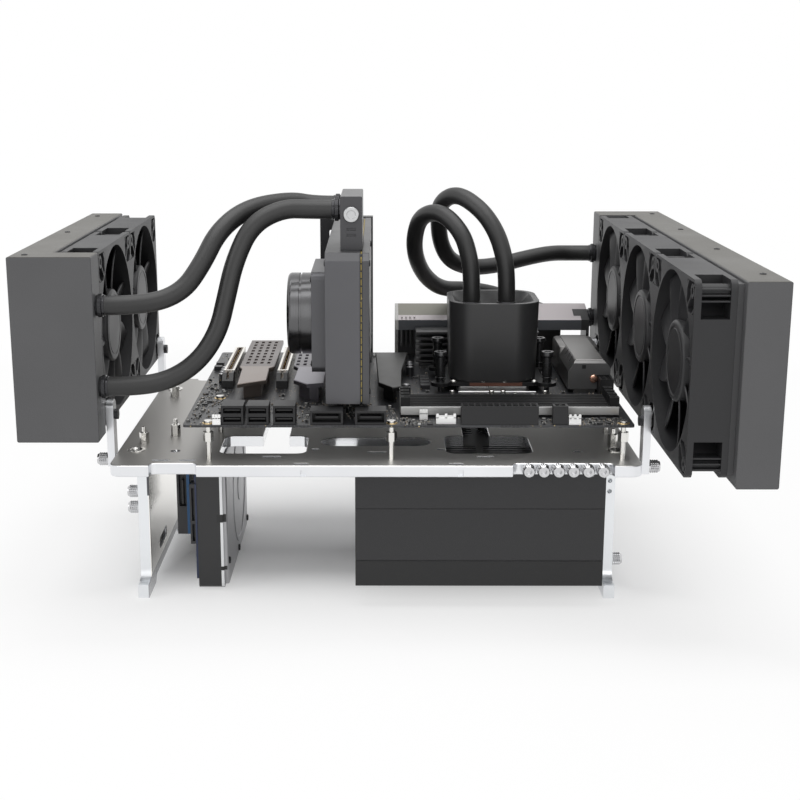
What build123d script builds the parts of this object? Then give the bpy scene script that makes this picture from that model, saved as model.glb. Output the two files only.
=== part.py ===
from build123d import *
from math import pi, radians, sqrt, tan
import os

# Open air test bench with a liquid-cooled computer fitted. Millimetres, +Z up.
# The origin is on the surface that it stands on, in the middle of the footprint.
# X runs to the right and Y away from the front, where the board faces the user.

os.makedirs("parts", exist_ok=True)

# Bench
deck_width = 360.0
deck_depth = 266.0
deck_thickness = 8.0
deck_corner_radius = 8.0
deck_offset = 39.0
leg_height = 104.0
leg_thickness = 8.0
leg_inset = 8.5
standoff_height = 24.0
thumb_head_radius = 4.7
thumb_head_length = 8.0
thumb_shaft_radius = 1.45
thread_clearance = 0.15

# Computer board
board_width = 305.0
board_depth = 244.0
board_thickness = 1.6
board_left = -130.5
board_front = -84.0

# Cooling
fan_size = 120.0
fan_depth = 25.0
fan_hole_inset = 7.5
fan_bottom = 132.6
left_fan_count = 2
right_fan_count = 3
post_thickness = 5.0
radiator_gap = 4.0
radiator_depth = 26.0
radiator_foot = 4.6
right_radiator_front = -198.0
right_radiator_margin = 5.0
left_radiator_margin = 10.5
left_tank_length = 23.0
right_tank_length = 30.5
tank_gap = 0.5
hose_radius = 6.5
fitting_length = 6.0

# Heights and planes that the pieces share
deck_bottom = leg_height
deck_top = deck_bottom + deck_thickness
deck_side = deck_width / 2
deck_front = deck_offset - deck_depth / 2
deck_rear = deck_offset + deck_depth / 2
board_bottom = deck_top + standoff_height
board_top = board_bottom + board_thickness
board_right = board_left + board_width
board_rear = board_front + board_depth
fan_inner = deck_side + post_thickness
fan_outer = fan_inner + fan_depth
fan_top = fan_bottom + fan_size
fan_middle = fan_bottom + fan_size / 2
fan_hole_spacing = fan_size - 2 * fan_hole_inset
radiator_inner = fan_outer + radiator_gap
radiator_outer = radiator_inner + radiator_depth
radiator_height = fan_size + radiator_foot
leg_outer = deck_side - leg_inset
leg_inner = leg_outer - leg_thickness

# Rows of the fans along Y: the left ones start behind their radiator's tank
left_tank = (deck_front, deck_front + left_tank_length)
left_fan_fronts = [left_tank[1] + tank_gap + number * fan_size for number in range(left_fan_count)]
left_fans_end = left_fan_fronts[-1] + fan_size
right_fans_start = right_radiator_front + right_radiator_margin
right_fan_fronts = [right_fans_start + number * fan_size for number in range(right_fan_count)]
right_fans_end = right_fan_fronts[-1] + fan_size
right_tank = (right_fans_end + tank_gap, right_fans_end + tank_gap + right_tank_length)
left_post_rows = (left_fan_fronts[0] + fan_hole_inset, left_fans_end - fan_hole_inset)
right_post_rows = (right_fan_fronts[1] - fan_hole_inset, right_fans_end - fan_hole_inset)


def block(x, y, z, mode=Mode.ADD):
    """Rectangular block between the pairs x, y and z, in the piece being built."""
    with Locations(((x[0] + x[1]) / 2, (y[0] + y[1]) / 2, (z[0] + z[1]) / 2)):
        return Box(x[1] - x[0], y[1] - y[0], z[1] - z[0], mode=mode)


def span(middle, size):
    """The pair of ends of a size about its middle."""
    return (middle - size / 2, middle + size / 2)


# Deck plate: edge recesses, cable openings, a long slot and the screw slots
recess_depth = 6.5
recess_radius = 4.0
left_recess = (-deck_side + 27.0, -deck_side + 59.0)
right_recess = (deck_side - 88.0, deck_side - 19.5)
rear_recess = (-deck_side + 27.0, deck_side - 27.0)
edge_break = 0.5
opening_middle = 79.0
opening_width = 60.0
opening_front = -63.0
opening_depth = 47.0
opening_radius = 7.0
stem_offset = -6.5
stem_width = 19.0
stem_length = 60.0
long_slot_length = 78.0
long_slot_width = 23.0
long_slot_middle = -32.0
slider_slots = {
    (6.0, 4.0): [(-43.0, -52.0), (45.4, -52.5)],
    (13.0, 3.4): [(-71.9, -71.3), (74.5, -71.3)],
    (11.0, 3.4): [(-50.8, -88.8), (54.0, -88.8)],
    (14.0, 3.4): [(0.6, -59.5), (0.6, 100.0), (-60.0, 120.0), (60.0, 120.0)],
    (12.0, 3.6): [(-146.8, -80.0), (-128.6, -80.0)],
}
deck_screw_places = [(x, y) for x in (-140.0, 140.0) for y in (-57.0, 135.0)]
deck_screw_radius = 1.8
deck_screw_sink = 3.6
leg_screw_rows = (-54.8, 132.8)
leg_screw_radius = 2.1
leg_screw_sink = 4.4
parked_pitch = 10.0
parked_count = 6
parked_first = right_recess[0] + 10.9
edge_hole_depth = 7.0
edge_hole_height = deck_bottom + deck_thickness / 2
notch_width = 3.7
notch_depth = 2.5
notch_heights = (deck_bottom + 0.8, deck_bottom + 5.0)
notch_places = (-49.0, 57.0)
hole_columns = (16.51, 140.97, board_width - 6.55)
hole_rows = (6.35, 78.74, board_depth - 10.32)
standoff_places = [(board_left + x, board_front + y) for x in hole_columns for y in hole_rows]

with BuildPart() as deck_plate:
    with BuildSketch(Plane.XY.offset(deck_bottom)):
        with Locations((0, deck_offset)):
            RectangleRounded(deck_width, deck_depth, deck_corner_radius)
        for start, end in (left_recess, right_recess):
            with Locations(((start + end) / 2, deck_front)):
                RectangleRounded(end - start, 2 * recess_depth, recess_radius, mode=Mode.SUBTRACT)
        with Locations((sum(rear_recess) / 2, deck_rear)):
            rear_width = rear_recess[1] - rear_recess[0]
            RectangleRounded(rear_width, 2 * recess_depth, recess_radius, mode=Mode.SUBTRACT)
    extrude(amount=deck_thickness)
    deck_faces = deck_plate.faces().sort_by(Axis.Z)
    chamfer(deck_faces[0].edges() + deck_faces[-1].edges(), edge_break)
    # Long slot, and two cable openings, each a wide mouth with a stem under the board
    with BuildSketch(Plane.XY.offset(deck_bottom)):
        for side in (-1, 1):
            with Locations((side * opening_middle, opening_front + opening_depth / 2)):
                RectangleRounded(opening_width, opening_depth, opening_radius)
            stem_middle = side * (opening_middle + stem_offset)
            stem_row = opening_front + opening_depth + stem_length / 2 - opening_radius
            with Locations((stem_middle, stem_row)):
                RectangleRounded(stem_width, stem_length + opening_radius, opening_radius)
        with Locations((0, long_slot_middle)):
            SlotOverall(long_slot_length, long_slot_width)
    extrude(amount=deck_thickness, mode=Mode.SUBTRACT)
    deck_face = deck_plate.faces().sort_by(Axis.Z)[-1]
    chamfer([edge for wire in deck_face.inner_wires() for edge in wire.edges()], edge_break)
    # Slots that let the drives slide before they are screwed tight
    with BuildSketch(Plane.XY.offset(deck_bottom)):
        for slot_size, slot_places in slider_slots.items():
            with Locations(*slot_places):
                SlotOverall(*slot_size)
    extrude(amount=deck_thickness, mode=Mode.SUBTRACT)
    # Countersunk holes beside the cable openings and over the legs
    with Locations(*[(x, y, deck_top) for x, y in deck_screw_places]):
        CounterSinkHole(deck_screw_radius, deck_screw_sink, depth=deck_thickness)
    leg_middle = (leg_inner + leg_outer) / 2
    with Locations(*[(x, y, deck_top) for x in (-leg_middle, leg_middle) for y in leg_screw_rows]):
        CounterSinkHole(leg_screw_radius, leg_screw_sink, depth=deck_thickness)
    # Threaded holes in the front recess and in the side edges
    with BuildSketch(Plane.XZ.offset(-(deck_front + recess_depth))):
        for number in range(parked_count):
            with Locations((parked_first + number * parked_pitch, edge_hole_height)):
                Circle(thumb_shaft_radius + thread_clearance)
    extrude(amount=-edge_hole_depth, mode=Mode.SUBTRACT)
    for side, rows in ((-1, left_post_rows), (1, right_post_rows)):
        with BuildSketch(Plane.YZ.offset(side * deck_side)):
            with Locations(*[(y, edge_hole_height) for y in rows]):
                Circle(thumb_shaft_radius + thread_clearance)
        extrude(amount=-side * edge_hole_depth, mode=Mode.SUBTRACT)
    # Small notches in the lower half of the front edge
    notch_rows = (deck_front, deck_front + notch_depth)
    for place in notch_places:
        block(span(place, notch_width), notch_rows, notch_heights, Mode.SUBTRACT)
deck_plate.part.label = "deck_plate"
export_step(deck_plate.part, "parts/deck_plate.step")

# Legs: plates with a toe at each end and a low arch between the feet
leg_top_half = 74.0
leg_foot_half = 75.5
toe_half = 89.0
toe_height = 9.8
toe_fillet = 7.0
arch_half = 58.0
arch_height = 5.0
psu_window = ((-24.0, 66.0), (30.0, 92.0))
window_radius = 6.0
left_leg_slot = ((21.0, 22.0), (36.0, 9.0))
edge_hole_radius = 1.6
edge_holes = ((99.0, 6.0), (84.0, 7.0), (76.0, 8.0))
left_thumb_places = ((-29.0, 62.0), (-29.0, 74.0))
right_thumb_places = ((-27.0, 22.0), (-26.5, 97.0))

with BuildPart() as leg_plate:
    with BuildSketch(Plane.YZ) as outline:
        with BuildLine():
            Polyline(
                (deck_offset - leg_top_half, leg_height),
                (deck_offset - leg_foot_half, toe_height),
                (deck_offset - toe_half, toe_height),
                (deck_offset - toe_half, 0),
                (deck_offset - arch_half, 0),
                (deck_offset - arch_half + arch_height, arch_height),
                (deck_offset + arch_half - arch_height, arch_height),
                (deck_offset + arch_half, 0),
                (deck_offset + toe_half, 0),
                (deck_offset + toe_half, toe_height),
                (deck_offset + leg_foot_half, toe_height),
                (deck_offset + leg_top_half, leg_height),
                close=True,
            )
        make_face()
        toe_corners = [v for v in outline.vertices() if abs(v.Y - toe_height) < 0.01]
        fillet([v for v in toe_corners if abs(v.X - deck_offset) < leg_foot_half + 0.1], toe_fillet)
    extrude(amount=leg_thickness)

with BuildPart() as left_leg:
    add(Pos(-leg_outer, 0, 0) * leg_plate.part)
    # Oblong slot low in the plate, and holes for the parked thumb screws
    with BuildSketch(Plane.YZ.offset(-leg_outer)):
        with Locations(left_leg_slot[0]):
            SlotOverall(*left_leg_slot[1])
        with Locations(*left_thumb_places):
            Circle(thumb_shaft_radius + thread_clearance)
    extrude(amount=leg_thickness, mode=Mode.SUBTRACT)
left_leg.part.label = "left_leg"
export_step(left_leg.part, "parts/left_leg.step")

with BuildPart() as right_leg:
    add(Pos(leg_inner, 0, 0) * leg_plate.part)
    # Window over the mains inlet and switch of the power supply, and thumb screw holes
    with BuildSketch(Plane.YZ.offset(leg_inner)):
        with Locations((sum(psu_window[0]) / 2, sum(psu_window[1]) / 2)):
            window_length = psu_window[0][1] - psu_window[0][0]
            window_height = psu_window[1][1] - psu_window[1][0]
            RectangleRounded(window_length, window_height, window_radius)
        with Locations(*right_thumb_places):
            Circle(thumb_shaft_radius + thread_clearance)
    extrude(amount=leg_thickness, mode=Mode.SUBTRACT)
    # Threaded holes in the front edge, which end in front of the thumb screw
    for level, depth in edge_holes:
        with BuildSketch(Plane.XZ.offset(-(deck_offset - leg_foot_half))):
            with Locations((leg_middle, level)):
                Circle(edge_hole_radius)
        extrude(amount=-depth, mode=Mode.SUBTRACT)
right_leg.part.label = "right_leg"
export_step(right_leg.part, "parts/right_leg.step")

# Standoffs: slim rods with a hexagon near the top, and short spare ones on the deck
standoff_radius = 1.8
standoff_hexagon = 3.2
hexagon_level = board_bottom - 11.0
hexagon_height = 6.5
spare_places = ((-165.0, -36.0), (-145.8, -14.3), (-164.2, 108.0), (167.3, -40.8))
spare_height = 8.0
spare_hexagon = 3.0
spare_stud_radius = 1.5
spare_stud = 4.0
screw_bite = 4.0
board_screw_radius = 1.2
board_screw_head_radius = 2.9
board_screw_head = 1.8
board_screw_shaft = board_thickness + 3.7

with BuildPart() as standoffs:
    with BuildSketch(Plane.XY.offset(deck_top)):
        with Locations(*standoff_places):
            Circle(standoff_radius)
    extrude(amount=standoff_height)
    with BuildSketch(Plane.XY.offset(hexagon_level)):
        with Locations(*standoff_places):
            RegularPolygon(standoff_hexagon, 6, major_radius=False)
    extrude(amount=hexagon_height)
    with BuildSketch(Plane.XY.offset(deck_top)):
        with Locations(*spare_places):
            RegularPolygon(spare_hexagon, 6, major_radius=False)
    extrude(amount=spare_height)
    with BuildSketch(Plane.XY.offset(deck_top + spare_height)):
        with Locations(*spare_places):
            Circle(spare_stud_radius)
    extrude(amount=spare_stud)
    # Bore for the screw that holds the board down
    with BuildSketch(Plane.XY.offset(board_bottom - screw_bite)):
        with Locations(*standoff_places):
            Circle(board_screw_radius + thread_clearance)
    extrude(amount=screw_bite, mode=Mode.SUBTRACT)
standoffs.part.label = "standoffs"
export_step(standoffs.part, "parts/standoffs.step")

# Posts: flat bars between the deck edge and the fan corners
post_width = 11.0
post_top = fan_bottom + 12.5
post_screw_height = fan_bottom + fan_hole_inset
post_screw_radius = 1.9
post_screw_head_radius = 3.6
post_screw_head = 2.6
post_screw_bite = 4.0


def post_profile(row):
    """Side profile of a post about its row, in the plane being sketched."""
    with Locations((row, (deck_bottom + post_top) / 2)):
        Rectangle(post_width, post_top - deck_bottom)
    with Locations((row, post_top)):
        Circle(post_width / 2)
    with Locations((row, post_screw_height)):
        Circle(post_screw_radius + thread_clearance, mode=Mode.SUBTRACT)
    with Locations((row, edge_hole_height)):
        Circle(thumb_shaft_radius + thread_clearance, mode=Mode.SUBTRACT)


post_places = {
    "front_left_post": (-1, left_post_rows[0]),
    "rear_left_post": (-1, left_post_rows[1]),
    "front_right_post": (1, right_post_rows[0]),
    "rear_right_post": (1, right_post_rows[1]),
}
for post_name, (side, row) in post_places.items():
    with BuildPart() as post:
        with BuildSketch(Plane.YZ.offset(side * deck_side)):
            post_profile(row)
        extrude(amount=side * post_thickness)
    post.part.label = post_name
    export_step(post.part, f"parts/{post_name}.step")

# Thumb screws: on the posts, on both legs, and six parked in the front edge
thumb_shaft_length = 6.0
thumb_chamfer = 0.8
thumb_slot = (6.4, 1.0, 1.2)

with BuildPart() as thumb_screw:
    with BuildSketch():
        Circle(thumb_head_radius)
    extrude(amount=thumb_head_length)
    chamfer(thumb_screw.edges().filter_by(GeomType.CIRCLE), thumb_chamfer)
    with BuildSketch():
        Circle(thumb_shaft_radius)
    extrude(amount=-thumb_shaft_length)
    # Slot for a screwdriver
    slot_heights = (thumb_head_length - thumb_slot[2], thumb_head_length)
    block(span(0, thumb_slot[0]), span(0, thumb_slot[1]), slot_heights, Mode.SUBTRACT)

thumb_planes = []
for number in range(parked_count):
    origin = (parked_first + number * parked_pitch, deck_front + recess_depth, edge_hole_height)
    thumb_planes.append(Plane(origin, x_dir=(1, 0, 0), z_dir=(0, -1, 0)))
for side, row in post_places.values():
    origin = (side * fan_inner, row, edge_hole_height)
    thumb_planes.append(Plane(origin, x_dir=(0, 1, 0), z_dir=(side, 0, 0)))
for place in right_thumb_places:
    thumb_planes.append(Plane((leg_outer, *place), x_dir=(0, 1, 0), z_dir=(1, 0, 0)))
for place in left_thumb_places:
    thumb_planes.append(Plane((-leg_outer, *place), x_dir=(0, 1, 0), z_dir=(-1, 0, 0)))

with BuildPart() as thumb_screws:
    for plane in thumb_planes:
        add(plane.location * thumb_screw.part)
thumb_screws.part.label = "thumb_screws"
export_step(thumb_screws.part, "parts/thumb_screws.step")

# Black screws from the posts into the fan corners
with BuildPart() as post_screws:
    for side, row in post_places.values():
        with BuildSketch(Plane.YZ.offset(side * deck_side)):
            with Locations((row, post_screw_height)):
                Circle(post_screw_head_radius)
        extrude(amount=-side * post_screw_head)
        with BuildSketch(Plane.YZ.offset(side * deck_side)):
            with Locations((row, post_screw_height)):
                Circle(post_screw_radius)
        extrude(amount=side * (post_thickness + post_screw_bite))
post_screws.part.label = "post_screws"
export_step(post_screws.part, "parts/post_screws.step")

# Fan frame, with its axis along Z and its inlet face at Z = 0
flange_thickness = 4.0
duct_radius = fan_size / 2 - 2.7
duct_wall = 2.0
frame_corner_radius = 5.0
window_size = 23.0
pillar_radius = 4.4
fan_hole_radius = 2.15
rotor_hub_radius = 26.0
stator_thickness = 3.6
stator_arm_width = 4.5
corner_rib = 2.0
pocket_rib = 1.5
pocket_rib_angles = (36, 45, 54, 126, 135, 144)
stator_angles = (20, 110)
bearing_outer = 4.6
bearing_cap = 1.5
shaft_radius = 1.6
shaft_clearance = 0.3
tip_clearance = 1.0
rotor_front = 2.5
rotor_gap = 0.7
rotor_rear = fan_depth - stator_thickness - rotor_gap
bearing_front = rotor_front + 5.0

with BuildPart() as fan_frame:
    with BuildSketch():
        RectangleRounded(fan_size, fan_size, frame_corner_radius)
    extrude(amount=fan_depth)
    # Between the flanges each corner is open round its screw pillar and one rib
    with BuildSketch(Plane.XY.offset(flange_thickness)):
        with GridLocations(fan_size - window_size, fan_size - window_size, 2, 2):
            Rectangle(window_size, window_size)
        Circle(duct_radius + duct_wall, mode=Mode.SUBTRACT)
        with GridLocations(fan_hole_spacing, fan_hole_spacing, 2, 2):
            Circle(pillar_radius, mode=Mode.SUBTRACT)
        for angle in (45, 135):
            Rectangle(fan_hole_spacing * sqrt(2), corner_rib, rotation=angle, mode=Mode.SUBTRACT)
    extrude(amount=fan_depth - 2 * flange_thickness, mode=Mode.SUBTRACT)
    # Pockets between ribs in the corners of the inlet face
    with BuildSketch():
        with GridLocations(fan_size - window_size, fan_size - window_size, 2, 2):
            Rectangle(window_size - 2 * corner_rib, window_size - 2 * corner_rib)
        Circle(duct_radius + duct_wall, mode=Mode.SUBTRACT)
        with GridLocations(fan_hole_spacing, fan_hole_spacing, 2, 2):
            Circle(pillar_radius, mode=Mode.SUBTRACT)
        for angle in pocket_rib_angles:
            Rectangle(fan_size * sqrt(2), pocket_rib, rotation=angle, mode=Mode.SUBTRACT)
    extrude(amount=flange_thickness, mode=Mode.SUBTRACT)
    with BuildSketch():
        Circle(duct_radius)
        with GridLocations(fan_hole_spacing, fan_hole_spacing, 2, 2):
            Circle(fan_hole_radius)
    extrude(amount=fan_depth, mode=Mode.SUBTRACT)
    # Stator: four arms, the motor plate and the bearing tube
    with BuildSketch(Plane.XY.offset(fan_depth - stator_thickness)):
        for angle in stator_angles:
            Rectangle(2 * duct_radius + duct_wall, stator_arm_width, rotation=angle)
        Circle(rotor_hub_radius)
    extrude(amount=stator_thickness)
    with BuildSketch(Plane.XY.offset(bearing_front)):
        Circle(bearing_outer)
    extrude(amount=fan_depth - stator_thickness - bearing_front)
    with BuildSketch(Plane.XY.offset(bearing_front)):
        Circle(shaft_radius + shaft_clearance)
    extrude(amount=fan_depth - bearing_cap - bearing_front, mode=Mode.SUBTRACT)

# Fan rotor: a hub cup on its shaft, with swept and twisted blades
blade_count = 9
blade_tip_radius = duct_radius - tip_clearance
blade_root = (0.0, 14.0, 13.0, 1.8)
blade_tip = (11.0, 35.0, 14.0, 3.0)
blade_skin = 0.8
hub_chamfer = 1.2
hub_wall = 2.0


def blade_section(middle, run, rise, sag):
    """Curved strip of blade, from its leading edge near the inlet to its trailing edge."""
    lead = (middle - run / 2, -rise / 2)
    crest = (middle + sag, 0)
    trail = (middle + run / 2, rise / 2)
    upper = [(x - blade_skin, y + blade_skin) for x, y in (lead, crest, trail)]
    with BuildLine() as strip:
        ThreePointArc(lead, crest, trail)
        ThreePointArc(*upper)
        Line(lead, upper[0])
        Line(trail, upper[2])
    make_face(strip.edges())


blade_height = (rotor_front + rotor_rear) / 2
with BuildPart() as fan_blade:
    root_plane = Plane((rotor_hub_radius - 2, 0, blade_height), x_dir=(0, 1, 0), z_dir=(1, 0, 0))
    tip_plane = Plane((blade_tip_radius + 6, 0, blade_height), x_dir=(0, 1, 0), z_dir=(1, 0, 0))
    with BuildSketch(root_plane):
        blade_section(*blade_root)
    with BuildSketch(tip_plane):
        blade_section(*blade_tip)
    loft(ruled=True)

with BuildPart() as fan_rotor:
    with PolarLocations(0, blade_count):
        add(fan_blade.part)
    with BuildSketch(Plane.XY.offset(rotor_front)):
        Circle(blade_tip_radius)
    extrude(amount=rotor_rear - rotor_front, mode=Mode.INTERSECT)
    with BuildSketch(Plane.XY.offset(rotor_front)):
        Circle(rotor_hub_radius)
    extrude(amount=rotor_rear - rotor_front)
    hub_edge = fan_rotor.edges().filter_by(GeomType.CIRCLE).sort_by(Axis.Z)[0]
    chamfer(hub_edge, hub_chamfer)
    with BuildSketch(Plane.XY.offset(rotor_front + hub_wall)):
        Circle(rotor_hub_radius - hub_wall)
        Circle(shaft_radius, mode=Mode.SUBTRACT)
    extrude(amount=rotor_rear - rotor_front - hub_wall, mode=Mode.SUBTRACT)

fan_places = {f"left_fan_{n + 1}": (-1, front) for n, front in enumerate(left_fan_fronts)}
fan_places.update({f"right_fan_{n + 1}": (1, front) for n, front in enumerate(right_fan_fronts)})
for fan_name, (side, front) in fan_places.items():
    origin = (side * fan_inner, front + fan_size / 2, fan_middle)
    place = Plane(origin, x_dir=(0, 1, 0), z_dir=(side, 0, 0))
    with BuildPart() as placed_frame:
        add(place.location * fan_frame.part)
    placed_frame.part.label = f"{fan_name}_frame"
    export_step(placed_frame.part, f"parts/{fan_name}_frame.step")
    with BuildPart() as placed_rotor:
        add(place.location * fan_rotor.part)
    placed_rotor.part.label = f"{fan_name}_rotor"
    export_step(placed_rotor.part, f"parts/{fan_name}_rotor.step")

# Radiators: a finned core in a casing, with a thick tank at one end for the ports
radiator_bottom = fan_top - radiator_height
radiator_wall = 5.0
core_recess = 4.0
core_tube_pitch = 9.6
core_tube_height = 2.4
core_tube_count = 11
core_tube_setback = 1.0
core_end = 14.0
core_tank_end = 6.0
flange_inset = 2.5
flange_lift = 6.5
casing_fillet = 1.2
port_heights = (164.0, 219.0)
left_radiator_ends = (left_tank[0], left_fans_end + left_radiator_margin)
right_radiator_ends = (right_radiator_front, right_tank[1])
left_core = (left_tank[1] + core_tank_end, left_radiator_ends[1] - core_end)
right_core = (right_radiator_ends[0] + core_end, right_tank[0] - core_tank_end)


def sided(side, near, far):
    """The pair of X ends of something on the left (-1) or right (1) side."""
    return (min(side * near, side * far), max(side * near, side * far))


radiator_places = {
    "left_radiator": (-1, left_radiator_ends, left_tank, left_core, left_fan_fronts),
    "right_radiator": (1, right_radiator_ends, right_tank, right_core, right_fan_fronts),
}
for radiator_name, (side, ends, tank, core, fronts) in radiator_places.items():
    heights = (radiator_bottom, fan_top)
    core_heights = (radiator_bottom + radiator_wall, fan_top - radiator_wall)
    with BuildPart() as radiator:
        block(sided(side, radiator_inner, radiator_outer), ends, heights)
        block(sided(side, fan_inner, radiator_outer), tank, heights)
        fillet(radiator.edges().filter_by(Axis.Y), casing_fillet)
        # Sheet flange that the fans are screwed to
        flange_rows = (fronts[0] + flange_inset, fronts[-1] + fan_size - flange_inset)
        flange_heights = (radiator_bottom + flange_lift, fan_top - flange_inset)
        block(sided(side, fan_outer, radiator_inner), flange_rows, flange_heights)
        inner_recess = sided(side, fan_outer, radiator_inner + core_recess)
        outer_recess = sided(side, radiator_outer - core_recess, radiator_outer)
        block(inner_recess, core, core_heights, Mode.SUBTRACT)
        block(outer_recess, core, core_heights, Mode.SUBTRACT)
        # Flat tubes along the core, on both faces
        for number in range(core_tube_count):
            middle = sum(core_heights) / 2 + (number - (core_tube_count - 1) / 2) * core_tube_pitch
            tube = span(middle, core_tube_height)
            inner_tube = sided(side, radiator_inner + core_tube_setback, radiator_inner + core_recess)
            outer_tube = sided(side, radiator_outer - core_recess, radiator_outer - core_tube_setback)
            block(inner_tube, core, tube)
            block(outer_tube, core, tube)
    radiator.part.label = radiator_name
    export_step(radiator.part, f"parts/{radiator_name}.step")

# Computer board, with its soldered parts
processor_place = (87.0, 43.0)
board_hole_radius = 1.5
board_corner = 2.5
large_capacitors = [(22.0, 0.0), (22.0, 8.0), (26.0, 70.0), (26.0, 79.0), (26.0, 88.0), (136.0, 86.0)]
large_capacitor_radius = 3.1
small_capacitors = [(-118.0, 44.0), (-118.0, 52.0), (-118.0, 60.0), (-118.0, 68.0), (-50.0, 126.0)]
small_capacitor_radius = 2.5
capacitor_height = 7.0
chokes = [(36.5, 25.0), (36.5, 35.0), (36.5, 45.0), (36.5, 55.0)]
choke_width = 7.0
choke_height = 3.4
chips = [(-126.0, 90.0), (-126.0, 104.0), (-90.0, -42.0), (-24.0, -50.0), (-60.0, -46.0)]
chip_width = 6.0

with BuildPart() as motherboard:
    with BuildSketch(Plane.XY.offset(board_bottom)):
        with Locations((board_left + board_width / 2, board_front + board_depth / 2)):
            RectangleRounded(board_width, board_depth, board_corner)
        with Locations(*standoff_places):
            Circle(board_hole_radius, mode=Mode.SUBTRACT)
    extrude(amount=board_thickness)
    # Capacitors
    with BuildSketch(Plane.XY.offset(board_top)):
        with Locations(*large_capacitors):
            Circle(large_capacitor_radius)
        with Locations(*small_capacitors):
            Circle(small_capacitor_radius)
    extrude(amount=capacitor_height)
    # Chokes and chips
    with BuildSketch(Plane.XY.offset(board_top)):
        with Locations(*chokes):
            Rectangle(choke_width, choke_width)
        with Locations(*chips):
            Rectangle(chip_width, chip_width)
    extrude(amount=choke_height)
motherboard.part.label = "motherboard"
export_step(motherboard.part, "parts/motherboard.step")

with BuildPart() as board_screws:
    with BuildSketch(Plane.XY.offset(board_top)):
        with Locations(*standoff_places):
            Circle(board_screw_head_radius)
    extrude(amount=board_screw_head)
    with BuildSketch(Plane.XY.offset(board_top)):
        with Locations(*standoff_places):
            Circle(board_screw_radius)
    extrude(amount=-board_screw_shaft)
board_screws.part.label = "board_screws"
export_step(board_screws.part, "parts/board_screws.step")

# Processor socket, with the frame that clamps the processor
socket_height = 3.4
processor_height = 4.4
socket_size = (54.0, 50.0, 3.0)
processor_size = (38.0, 38.0, 2.0)

with BuildPart() as cpu_socket:
    with BuildSketch(Plane.XY.offset(board_top)):
        with Locations(processor_place):
            RectangleRounded(*socket_size)
    extrude(amount=socket_height)
    with BuildSketch(Plane.XY.offset(board_top + socket_height)):
        with Locations(processor_place):
            RectangleRounded(*processor_size)
    extrude(amount=processor_height - socket_height)
cpu_socket.part.label = "cpu_socket"
export_step(cpu_socket.part, "parts/cpu_socket.step")

# Memory slots, with their end latches
memory_slot_count = 4
memory_slot_pitch = 9.5
memory_slot_front = -58.5
memory_slot_ends = (20.0, 164.0)
memory_slot_height = 8.0
memory_slot_width = 7.2
memory_groove = 1.8
memory_groove_floor = board_top + 2.5
memory_latch_height = 14.0
memory_latch_width = 6.2
memory_latch_length = 6.5

with BuildPart() as memory_slots:
    for number in range(memory_slot_count):
        middle = memory_slot_front + number * memory_slot_pitch
        rows = span(middle, memory_slot_width)
        block(memory_slot_ends, rows, (board_top, board_top + memory_slot_height))
        latch_top = board_top + memory_latch_height
        for end in memory_slot_ends:
            latch_ends = span(end, memory_latch_length)
            block(latch_ends, span(middle, memory_latch_width), (board_top, latch_top))
        groove = (memory_slot_ends[0] - 1, memory_slot_ends[1] + 1)
        block(groove, span(middle, memory_groove), (memory_groove_floor, latch_top), Mode.SUBTRACT)
memory_slots.part.label = "memory_slots"
export_step(memory_slots.part, "parts/memory_slots.step")

# Power sockets: 24 pins at the front edge, 8 pins at the right edge
power_socket_height = 13.0
power_pin_pitch = 4.2
power_well = 3.2
power_well_floor = board_top + 4.0
power_socket_top = board_top + power_socket_height
power_catch_height = 9.0
power_catch = ((80.5, 86.5), (board_front + 10.3, board_front + 12.3))
front_power_socket = ((57.5, 109.5), (board_front + 0.5, board_front + 10.3), 12, 2)
side_power_socket = ((163.5, 173.3), (-1.5, 16.0), 2, 4)

with BuildPart() as power_sockets:
    for ends, rows, columns, lines in (front_power_socket, side_power_socket):
        block(ends, rows, (board_top, power_socket_top))
        with BuildSketch(Plane.XY.offset(power_well_floor)):
            with Locations((sum(ends) / 2, sum(rows) / 2)):
                with GridLocations(power_pin_pitch, power_pin_pitch, columns, lines):
                    Rectangle(power_well, power_well)
        extrude(amount=power_socket_top - power_well_floor, mode=Mode.SUBTRACT)
    block(*power_catch, (board_top, board_top + power_catch_height))
power_sockets.part.label = "power_sockets"
export_step(power_sockets.part, "parts/power_sockets.step")

# Drive sockets: three pairs that face the front edge
sata_width = 15.0
sata_height = 13.1
sata_rows = (board_front + 1.0, board_front + 18.0)
sata_pair_middles = (-97.0, -80.0, -62.0)
sata_levels = (board_top + 3.6, board_top + 9.6)
sata_opening = (12.0, 3.6)
sata_opening_rear = board_front + 8.0
sata_tongue = (10.4, 1.1)
sata_tongue_lift = 0.4

with BuildPart() as sata_sockets:
    for middle in sata_pair_middles:
        block(span(middle, sata_width), sata_rows, (board_top, board_top + sata_height))
        for level in sata_levels:
            opening_rows = (board_front, sata_opening_rear)
            opening_heights = span(level, sata_opening[1])
            block(span(middle, sata_opening[0]), opening_rows, opening_heights, Mode.SUBTRACT)
            tongue_rows = (sata_rows[0] + 1, sata_opening_rear + 0.5)
            tongue_heights = span(level + sata_tongue_lift, sata_tongue[1])
            block(span(middle, sata_tongue[0]), tongue_rows, tongue_heights)
sata_sockets.part.label = "sata_sockets"
export_step(sata_sockets.part, "parts/sata_sockets.step")

# Black front sockets: two that face the front edge, and one upright
usb_ends = ((-44.5, -22.3), (-14.2, 7.0))
usb_rows = (board_front + 1.0, board_front + 16.0)
usb_height = 9.6
usb_shell = 1.5
usb_tongue_inset = 3.4
usb_tongue_height = 1.6
upright_ends = (119.3, 129.4)
upright_rows = (board_front + 1.0, board_front + 9.0)
upright_height = 13.0
upright_floor = board_top + 3.0
upright_well = (6.8, 4.8)
upright_core = 1.6

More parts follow.
